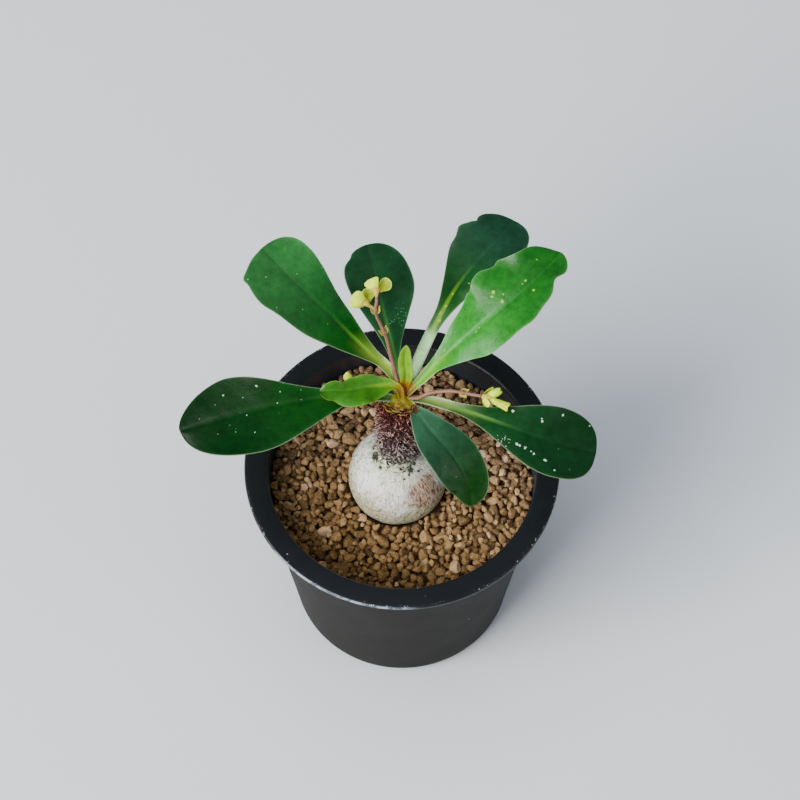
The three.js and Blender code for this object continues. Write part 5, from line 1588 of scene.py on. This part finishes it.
heads = {
    "flower_upper_a": {
        "foot": (-8, 16.9, 33.5), "cup": [(0, -0.9, -0.7), (-0.1, 0.3, 0.3), (-0.1, 1.1, 0.8)],
        "petals": [
            {"tip": (-2.2, 3.3, 2.3), "inner": (0.5, 0.55, -0.6), "width": 5.6, "bow": 0.5,
             "widest": 0.8},
            {"tip": (4.1, 3.3, 1.8), "inner": (-0.2, -0.17, 0.96), "width": 4.3, "bow": 0.7,
             "widest": 0.62},
        ],
    },
    "flower_upper_b": {
        "foot": (-10.6, 15.1, 29.3), "cup": [(0.6, -0.3, -0.4), (-0.3, 0.2, 0.3), (-0.9, 0.7, 0.6)],
        "petals": [
            {"tip": (-5.2, 1.2, 2.1), "inner": (0.2, 0.67, -0.72), "width": 6, "bow": 0.7,
             "widest": 0.62},
            {"tip": (0.2, 5, 1.6), "inner": (-0.5, -0.49, 0.7), "width": 4.6, "bow": 0.6,
             "widest": 0.62},
        ],
    },
}
flowerLook = {
    # the radius of a head's cup at its foot and how much it widens, its wall, and the florets in it
    "cup": (0.5, 0.75), "cupWall": 0.8, "cupDepth": 0.6, "florets": 4, "floretRadius": 0.24,
    # the darker hollow colours are painted shade on the scales' inner faces and the florets
    "hollow": (rgb(124, 142, 4), rgb(158, 174, 10)), "shell": (rgb(184, 208, 14), rgb(214, 236, 44)),
    "foot": rgb(176, 138, 74), "edge": rgb(214, 230, 90),
}


def flowerFinish():
    material, tree, shader = finish("flowerSkin", roughness=0.5, specular=0.3, Subsurface_Weight=0.08,
                                    Subsurface_Scale=1.5 * mm, Subsurface_Radius=(1, 1, 0.3))
    place = objectPlace(tree)
    out, rim, outside = (attribute(tree, name) for name in ("out", "rim", "outside"))
    cloud = noiseOf(tree, place, 420, 3)
    fine = noiseOf(tree, place, 1800, 3)
    share = ranged(tree, cloud, 0.35, 0.7)
    hollow, shell = (mixColour(tree, share, *flowerLook[key]) for key in ("hollow", "shell"))
    # painted shade: inner faces are darker than outer ones
    colour = mixColour(tree, outside, hollow, shell)
    colour = mixColour(tree, ranged(tree, out, 0.34, 0.02, 0, 0.8), colour, flowerLook["foot"])
    edge = times(tree, ranged(tree, rim, 0.5, 0.1, 0, 0.75), ranged(tree, out, 0.2, 0.5))
    feed(tree, shader.inputs["Base Color"], mixColour(tree, edge, colour, flowerLook["edge"]))
    relief(tree, shader, plus(tree, fine, cloud), 0.1, 0.5)
    return material


def plain(shape, out=0.1, outside=1.0, rim=0.6):
    # a shape with one value of each kind all over
    points, faces = shape
    values = {"out": out, "outside": outside, "rim": rim}
    return points, faces, {key: np.full(len(points), value) for key, value in values.items()}


def headShapes(head):
    base = rosette + np.array(head["foot"])
    cup = curveThrough([base + np.array(p) for p in head["cup"]])
    narrow, widens = flowerLook["cup"]
    loops = tube(cup, lambda share: narrow + widens * float(smooth(share)), 14, 24)
    middle, ahead = loops[-1].mean(0), directionsAlong(cup, [1.0])[0]
    inner = middle + flowerLook["cupWall"] * (loops[-1] - middle)
    loops = np.concatenate([loops, [inner, 0.4 * inner + 0.6 * middle - 0.5 * ahead]])
    shapes = [plain(loft(loops, end=middle - flowerLook["cupDepth"] * ahead), out=0.05)]
    for petal in head["petals"]:
        tip = base + np.array(petal["tip"])
        start = base + 0.12 * (tip - base) + 0.3 * ahead
        shapes.append(petalShape(start, tip, petal["inner"], petal["width"], petal["bow"],
                                 petal["widest"], foot=0.5))
    side = np.cross(ahead, (0.3, 0.2, 0.9))
    for k in range(flowerLook["florets"]):
        angle = 2 * math.pi * k / flowerLook["florets"] + 0.6
        aside = unit(side) * math.cos(angle) + unit(np.cross(ahead, side)) * math.sin(angle)
        floret = curveThrough([middle - 0.4 * ahead + 0.3 * aside, middle + 0.3 * ahead + 0.45 * aside])
        loops = tube(floret, lambda share: flowerLook["floretRadius"], 5, 10)
        shapes.append(plain(loft(loops), out=0.5, outside=0.0))
    return shapes


def budShape(points, radii, sides=20, steps=26, mouth=0.0):
    # a bud along a curve, its radius read from the given values; a mouth is a dimple at its end
    curve = curveThrough(fromRosette(points))
    places = np.linspace(0, 1, len(radii))
    loops = tube(curve, lambda share: float(np.interp(share, places, radii)), steps, sides)
    ahead = directionsAlong(curve, [1.0])[0]
    middle = loops[-1].mean(0)
    if mouth:
        angles = 2 * math.pi * np.arange(sides) / sides
        notch = (0.22 * np.cos(4 * angles))[:, None] * ahead
        loops[-1] = loops[-1] + notch
        inner = middle + (loops[-1] - middle) * 0.72
        loops = np.concatenate([loops, [inner, inner * 0.5 + middle * 0.5 - mouth * ahead]])
        return loft(loops, end=middle - 1.2 * mouth * ahead)
    return loft(loops, end=middle + 0.4 * radii[-1] * ahead)


def dressFlower(node, shapes, material):
    points, faces, fields = gathered(shapes)
    dress(makeMesh(node + "_skin", points, faces, material, **fields), "flower", node)


material = flowerFinish()
for name, head in heads.items():
    dressFlower(name, headShapes(head), material)

cup = rosette + np.array([24.4, -4.6, 7.2])
dressFlower("flower_right", [
    plain(budShape([(24.1, -4.55, 7.25), (25.6, -4.8, 7.2), (27.2, -5, 7.1)], [0.55, 0.9, 1.2, 1.2, 1.0])),
    plain(budShape([(25.6, -4.5, 7.2), (27.6, -4.0, 7.8), (29.9, -3.2, 8.6)], [0.7, 1.0, 1.3, 1.3, 0.95],
                   mouth=0.35), out=0.6),
    plain(budShape([(26, -5.1, 7.1), (29, -6.4, 6.6), (32.2, -7.6, 5.8)], [0.75, 0.95, 1.1, 1.25, 1.45],
                   mouth=0.5), out=0.6),
    petalShape(cup, cup + np.array([3.2, 2.4, 1.5]), (0.5, -0.8, 0.25), 2.0, 0.2, 0.4, 0.4),
    petalShape(cup, cup + np.array([1.9, -3, -1.1]), (0.7, 0.6, -0.25), 3.4, 0.5, 0.6, 0.4),
], material)
dressFlower("flower_left_bud", [
    plain(budShape([(-16.3, 2.85, 4.05), (-17, 3.3, 5), (-17.2, 4.2, 6.5)],
                   [0.5, 1.1, 1.45, 1.3, 0.85, 0.4]), out=0.4),
], material)
print("flowers ready")
